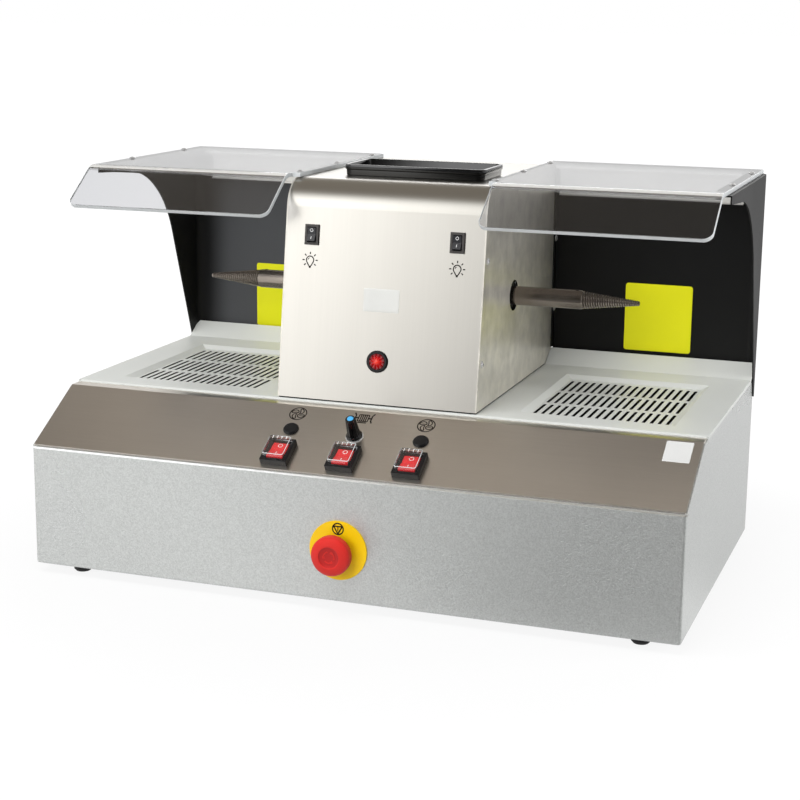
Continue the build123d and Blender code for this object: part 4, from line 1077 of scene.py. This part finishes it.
def motor_bands():
    """Motor: a box with bars, a foot, and a flared wheel on a shaft at each end."""
    bands = [band(box_loop(10.5, 9.5, 0.8), 1.2, closed=True)]
    for x in (-3.0, -1.0, 1.0, 3.0):
        bands.append(band([(x, -4.2), (x, 4.2)], 1.2))
    bands.append(band([(-4.6, -6.6), (4.6, -6.6)], 1.4))
    for end in (-1, 1):
        bands.append(band([(end * 5.4, 0), (end * 8.2, 0)], 1.8))
        flare = [(end * 10.6, 7.0), (end * 8.6, 3.4), (end * 8.6, -3.4), (end * 10.0, -6.4)]
        bands.append(band(rounded(flare, [0, 2.0, 2.0, 0]), 1.5))
    return bands


def bulb_bands():
    """Light bulb: a round glass that narrows to its neck, two cap lines, a gleam and rays."""
    glass = np.vstack([[(-1.2, -5.8)], arc(4.0, 215, -35, count=32), [(1.2, -5.8)]])
    bands = [band(glass, 1.15)]
    bands.append(band([(-1.4, -6.3), (1.4, -6.3)], 1.2))
    bands.append(band([(-1.0, -7.5), (1.0, -7.5)], 1.2))
    bands.append(band(arc(2.3, 105, 175, count=10), 0.8))
    for turn in np.radians([-40, 0, 45, 90, 135, 180, 220]):
        way = np.array([math.cos(turn), math.sin(turn)])
        bands.append(band([way * 6.0, way * 8.4], 1.2))
    return bands


def stop_bands():
    """Stop sign: a ring round a triangle that points down, with an upright bar inside."""
    bands = [band(circle(5.6), 1.4, closed=True), band([(0.0, 2.0), (0.0, -2.4)], 1.0)]
    corners = np.array([arc(5.1, 150 - 120 * i, 150 - 120 * i, count=1)[0] for i in range(3)])
    for i in range(3):
        bands.append(band([corners[i], corners[(i + 1) % 3]], 1.4))
    return bands


sign("left_fan_sign", fan_bands(), panel_face, -72.2, 83.3)
sign("right_fan_sign", fan_bands(), panel_face, 65.2, 83.4)
sign("motor_sign", motor_bands(), panel_face, -2.0, 85.6)
for word, side in sides.items():
    sign("light_sign_" + word, bulb_bands(), front_face, side * 79.0, 142.0)
sign("stop_sign", stop_bands(), stop_face, 0.0, 22.1, 1.5)


def rocker_marks(name, body, place, seat, tilt, reach, crown, size):
    """O and I on the two faces of a rocker: the faces rise from the valley to the ends, and
    the rocker is turned about its pin, so each mark is laid at the sum of both angles."""
    hollow = math.radians(25)
    rise = math.atan2(reach * math.sin(hollow) - crown, reach * math.cos(hollow))
    turn = np.array([[math.cos(tilt), math.sin(tilt)], [-math.sin(tilt), math.cos(tilt)]])
    marks = [
        (1, 0.58, band(circle(size, count=28), 0.28 * size, closed=True)),
        (-1, 0.5, band([(0, -size), (0, size)], 0.36 * size)),
    ]
    parts = []
    for end, share, (points, quads) in marks:
        away = share * reach
        middle = turn @ np.array([end * away * math.cos(rise), crown + away * math.sin(rise)])
        angle = end * rise - tilt
        mark = points.copy()
        mark[:, 1] = middle[0] + points[:, 1] * math.cos(angle) - points[:, 2] * math.sin(angle)
        mark[:, 2] = middle[1] + points[:, 1] * math.sin(angle) + points[:, 2] * math.cos(angle)
        parts.append((put(mark, place, *seat), quads, 0))
    piece(name, parts, [white_print_and_highlight], body)


for word, x in switch_x.items():
    rocker_marks(
        word + "_marks", word + "_rocker", panel_face, (x, switch_u, 1.0), tilt=math.radians(10),
        reach=11.3, crown=3.2, size=2.2,
    )
    # White strips on each cover's top are painted highlights, standing in for light on the clear
    # cover's inner walls
    highlight_strips = [band([(across, 8.6), (across, 12.4)], 0.7) for across in (-7.2, -2.4, 2.4, 7.2)]
    sign(word + "_cover_highlights", highlight_strips, panel_face, x, switch_u, cover_top, white_print_and_highlight)
for word, side in sides.items():
    rocker_marks(
        word + "_light_marks", word + "_light_rocker", front_face, (side * 78.0, 168.0, 0.6),
        tilt=math.radians(9), reach=7.4, crown=1.5, size=1.5,
    )


def plate(name, size, radius, place, x, u, thick, finish_used):
    """Bare plate with round corners and a softened rim."""
    profile = [
        (0.0, 0.0),
        (0.0, thick * 0.6),
        (thick * 0.15, thick * 0.9),
        (thick * 0.5, thick),
        (2.0, thick),
    ]
    shape = boxed(*size, radius, profile)
    piece(name, [tube(shape, place, x, u)], [finish_used], "machine")


for word, x, u in (("right", 228.6, 243.6), ("left", -225.5, 239.0)):
    size = (75.8, 76.4)
    plate("blank_plate_" + word, size, 3.0, back_face, x, u, 0.5, plate_yellow)
plate("blank_label_panel", (26.0, 28.0), 0.6, panel_face, 317.0, 79.8, 0.15, label_white)
plate("blank_label_front", (38.2, 23.5), 0.6, front_face, 0.7, 105.5, 0.15, label_pale)


# Floor, light and camera, in metres

def grey(level):
    """Linear colour without a hue."""
    return (level, level, level, 1.0)


def seen_rays(tree, path):
    """One for rays that show something: from the camera, from mirrors and through glass."""
    sharp = sums(tree, "MAXIMUM", path["Is Camera Ray"], path["Is Glossy Ray"])
    return sums(tree, "MAXIMUM", sharp, path["Is Transmission Ray"])


def studio_floor():
    """Wide pale floor at the feet: lit paint that shows mostly as plain white, the more so
    the farther it is from the object. In mirrors it dims towards the right."""
    reach = 30.0
    whitening = (0.3, 0.9)
    white_share = (0.82, 1.0)
    slant_share = 0.45
    right_side = (0.0, 0.36)
    front_side = (0.1, 0.3)
    far_right = (0.2, 0.4)
    back_side = (-0.1, 0.1)
    mirror_change = (0.1, -0.9)
    back_drop = 0.33
    white_glow = 1.07
    mesh = bpy.data.meshes.new("studio_floor")
    corners = [(-reach, -reach, 0), (reach, -reach, 0), (reach, reach, 0), (-reach, reach, 0)]
    mesh.from_pydata(corners, [], [(0, 1, 2, 3)])
    floor = bpy.data.objects.new("studio_floor", mesh)
    scene.collection.objects.link(floor)
    material = finish("floor paint", grey(0.55), 0.9, 0.0, (2.0, 0.01, 0.02))
    tree = material.node_tree
    path = add(tree, "LightPath").outputs
    place = add(tree, "TexCoord").outputs["Object"]
    away = add(tree, "VectorMath", {0: place}, operation="LENGTH").outputs["Value"]
    white = span(tree, faded(tree, away, *whitening), *white_share)
    way = add(tree, "SeparateXYZ", {0: place}).outputs
    ahead = times(tree, way["Y"], -1.0)
    slant = sums(tree, "ADD", way["X"], times(tree, ahead, slant_share))
    dim = times(tree, faded(tree, slant, *right_side), faded(tree, ahead, *front_side))
    to_right = faded(tree, way["X"], *far_right)
    behind = times(tree, to_right, faded(tree, way["Y"], *back_side))
    change = span(tree, dim, *mirror_change)
    mirrored = sums(tree, "SUBTRACT", change, span(tree, behind, 0.0, back_drop))
    level = sums(tree, "ADD", times(tree, mirrored, path["Is Glossy Ray"]), white_glow)
    glow = add(tree, "Emission", {"Color": grey(1.0), "Strength": level}).outputs[0]
    paint = tree.nodes["Principled BSDF"].outputs[0]
    share = times(tree, seen_rays(tree, path), white)
    mix = add(tree, "MixShader", {0: share, 1: paint, 2: glow})
    tree.links.new(mix.outputs[0], tree.nodes["Material Output"].inputs["Surface"])
    mesh.materials.append(material)


def studio_world():
    """White for the camera and through glass. Mirrors show a studio: white walls that are
    brightest at the front left, less so at the far left and dim at the front right, under
    a brown ceiling. Even weak light for everything else."""
    pale_wall = grey(0.9)
    left_wall = grey(1.15)
    bright_wall = grey(3.3)
    dim_wall = (0.08, 0.077, 0.066, 1)
    left_roof = (0.03, 0.027, 0.024, 1)
    bright_roof = (0.44, 0.396, 0.346, 1)
    brown_roof = (0.268, 0.241, 0.21, 1)
    fill_light = (0.96, 0.98, 1.0, 1)
    fill_strength = 0.22
    slant_top = 0.16
    slant_share = 0.5
    front_side = (0.0, 0.5)
    dim_edge = (-0.422, -0.306)
    bright_edge = (-0.53, -0.46)
    back_roof_edge = (0.05, 0.75)
    front_roof_edge = (0.6, 0.88)
    brown_edge = (-0.42, -0.2)
    left_roof_edge = (-0.54, -0.45)
    world = bpy.data.worlds.new("studio")
    world.use_nodes = True
    scene.world = world
    tree = world.node_tree
    tree.nodes.clear()
    path = add(tree, "LightPath").outputs
    way = add(tree, "SeparateXYZ", {0: add(tree, "TexCoord").outputs["Generated"]}).outputs
    low = sums(tree, "MINIMUM", way["Z"], slant_top)
    slant = sums(tree, "SUBTRACT", way["X"], times(tree, low, slant_share))
    front = faded(tree, times(tree, way["Y"], -1.0), *front_side)
    dim = faded(tree, slant, *dim_edge)
    lit = mixed(tree, faded(tree, way["X"], *bright_edge), left_wall, bright_wall)
    wall = mixed(tree, front, pale_wall, mixed(tree, dim, lit, dim_wall))
    back_roof = faded(tree, way["Z"], *back_roof_edge)
    front_roof = faded(tree, way["Z"], *front_roof_edge)
    change = times(tree, front, sums(tree, "SUBTRACT", front_roof, back_roof))
    height = sums(tree, "ADD", back_roof, change)
    brown = mixed(tree, faded(tree, way["X"], *brown_edge), bright_roof, brown_roof)
    roof = mixed(tree, faded(tree, way["X"], *left_roof_edge), left_roof, brown)
    mirrored = mixed(tree, height, wall, roof)
    shown = mixed(tree, path["Is Glossy Ray"], grey(1.0), mirrored)
    bright = add(tree, "Background", {"Color": shown, "Strength": 1.0}).outputs[0]
    light = add(tree, "Background", {"Color": fill_light, "Strength": fill_strength}).outputs[0]
    mix = add(tree, "MixShader", {0: seen_rays(tree, path), 1: light, 2: bright})
    tree.links.new(mix.outputs[0], add(tree, "OutputWorld").inputs["Surface"])


def softbox(name, at, aim, width, height, power, mirrored=False):
    """Rectangular lamp turned to a point. It is not seen through glass, and mirrors show the
    studio in its place unless the lamp itself is asked for."""
    lamp = bpy.data.lights.new(name, "AREA")
    lamp.shape = "RECTANGLE"
    lamp.size = width
    lamp.size_y = height
    lamp.energy = power
    made = bpy.data.objects.new(name, lamp)
    scene.collection.objects.link(made)
    turn = (Vector(at) - Vector(aim)).to_track_quat("Z", "Y")
    made.matrix_world = Matrix.Translation(at) @ turn.to_matrix().to_4x4()
    made.visible_glossy = mirrored
    made.visible_transmission = False


def camera():
    """Camera where the photograph was taken from: turned 19.3 degrees, 12.8 degrees up."""
    across = math.radians(19.3106)
    raised = math.radians(12.7945)
    roll = math.radians(0.638)
    at = (0.5995, -1.727, 0.5919)
    flat = math.cos(raised)
    back = Vector((math.sin(across) * flat, -math.cos(across) * flat, math.sin(raised)))
    right = Vector((math.cos(across), math.sin(across), 0))
    up = back.cross(right)
    level = math.cos(roll) * right + math.sin(roll) * up
    plumb = math.cos(roll) * up - math.sin(roll) * right
    lens = bpy.data.cameras.new("photo_camera")
    lens.lens = 79.006
    lens.sensor_width = 36.0
    lens.shift_x = -0.0001
    lens.shift_y = -0.0042
    lens.clip_end = 200.0
    made = bpy.data.objects.new("photo_camera", lens)
    scene.collection.objects.link(made)
    turn = Matrix((level, plumb, back)).transposed().to_4x4()
    made.matrix_world = Matrix.Translation(at) @ turn
    scene.camera = made


studio_floor()
studio_world()
softbox("key_softbox", (-0.3, -2.6, 1.05), (0.0, 0.0, 0.2), 1.4, 1.2, 33.5)
softbox("side_softbox", (1.7, 0.25, 0.6), (0.34, 0.0, 0.12), 0.9, 0.9, 16.0)
softbox("top_softbox", (-0.45, -0.8, 2.1), (-0.45, 0.0, 0.3), 1.8, 1.0, 33.0)
softbox("back_softbox", (0.0, 2.4, 1.3), (0.0, 0.2, 0.2), 2.6, 0.8, 16.0, True)
camera()
scene.view_settings.view_transform = "Standard"
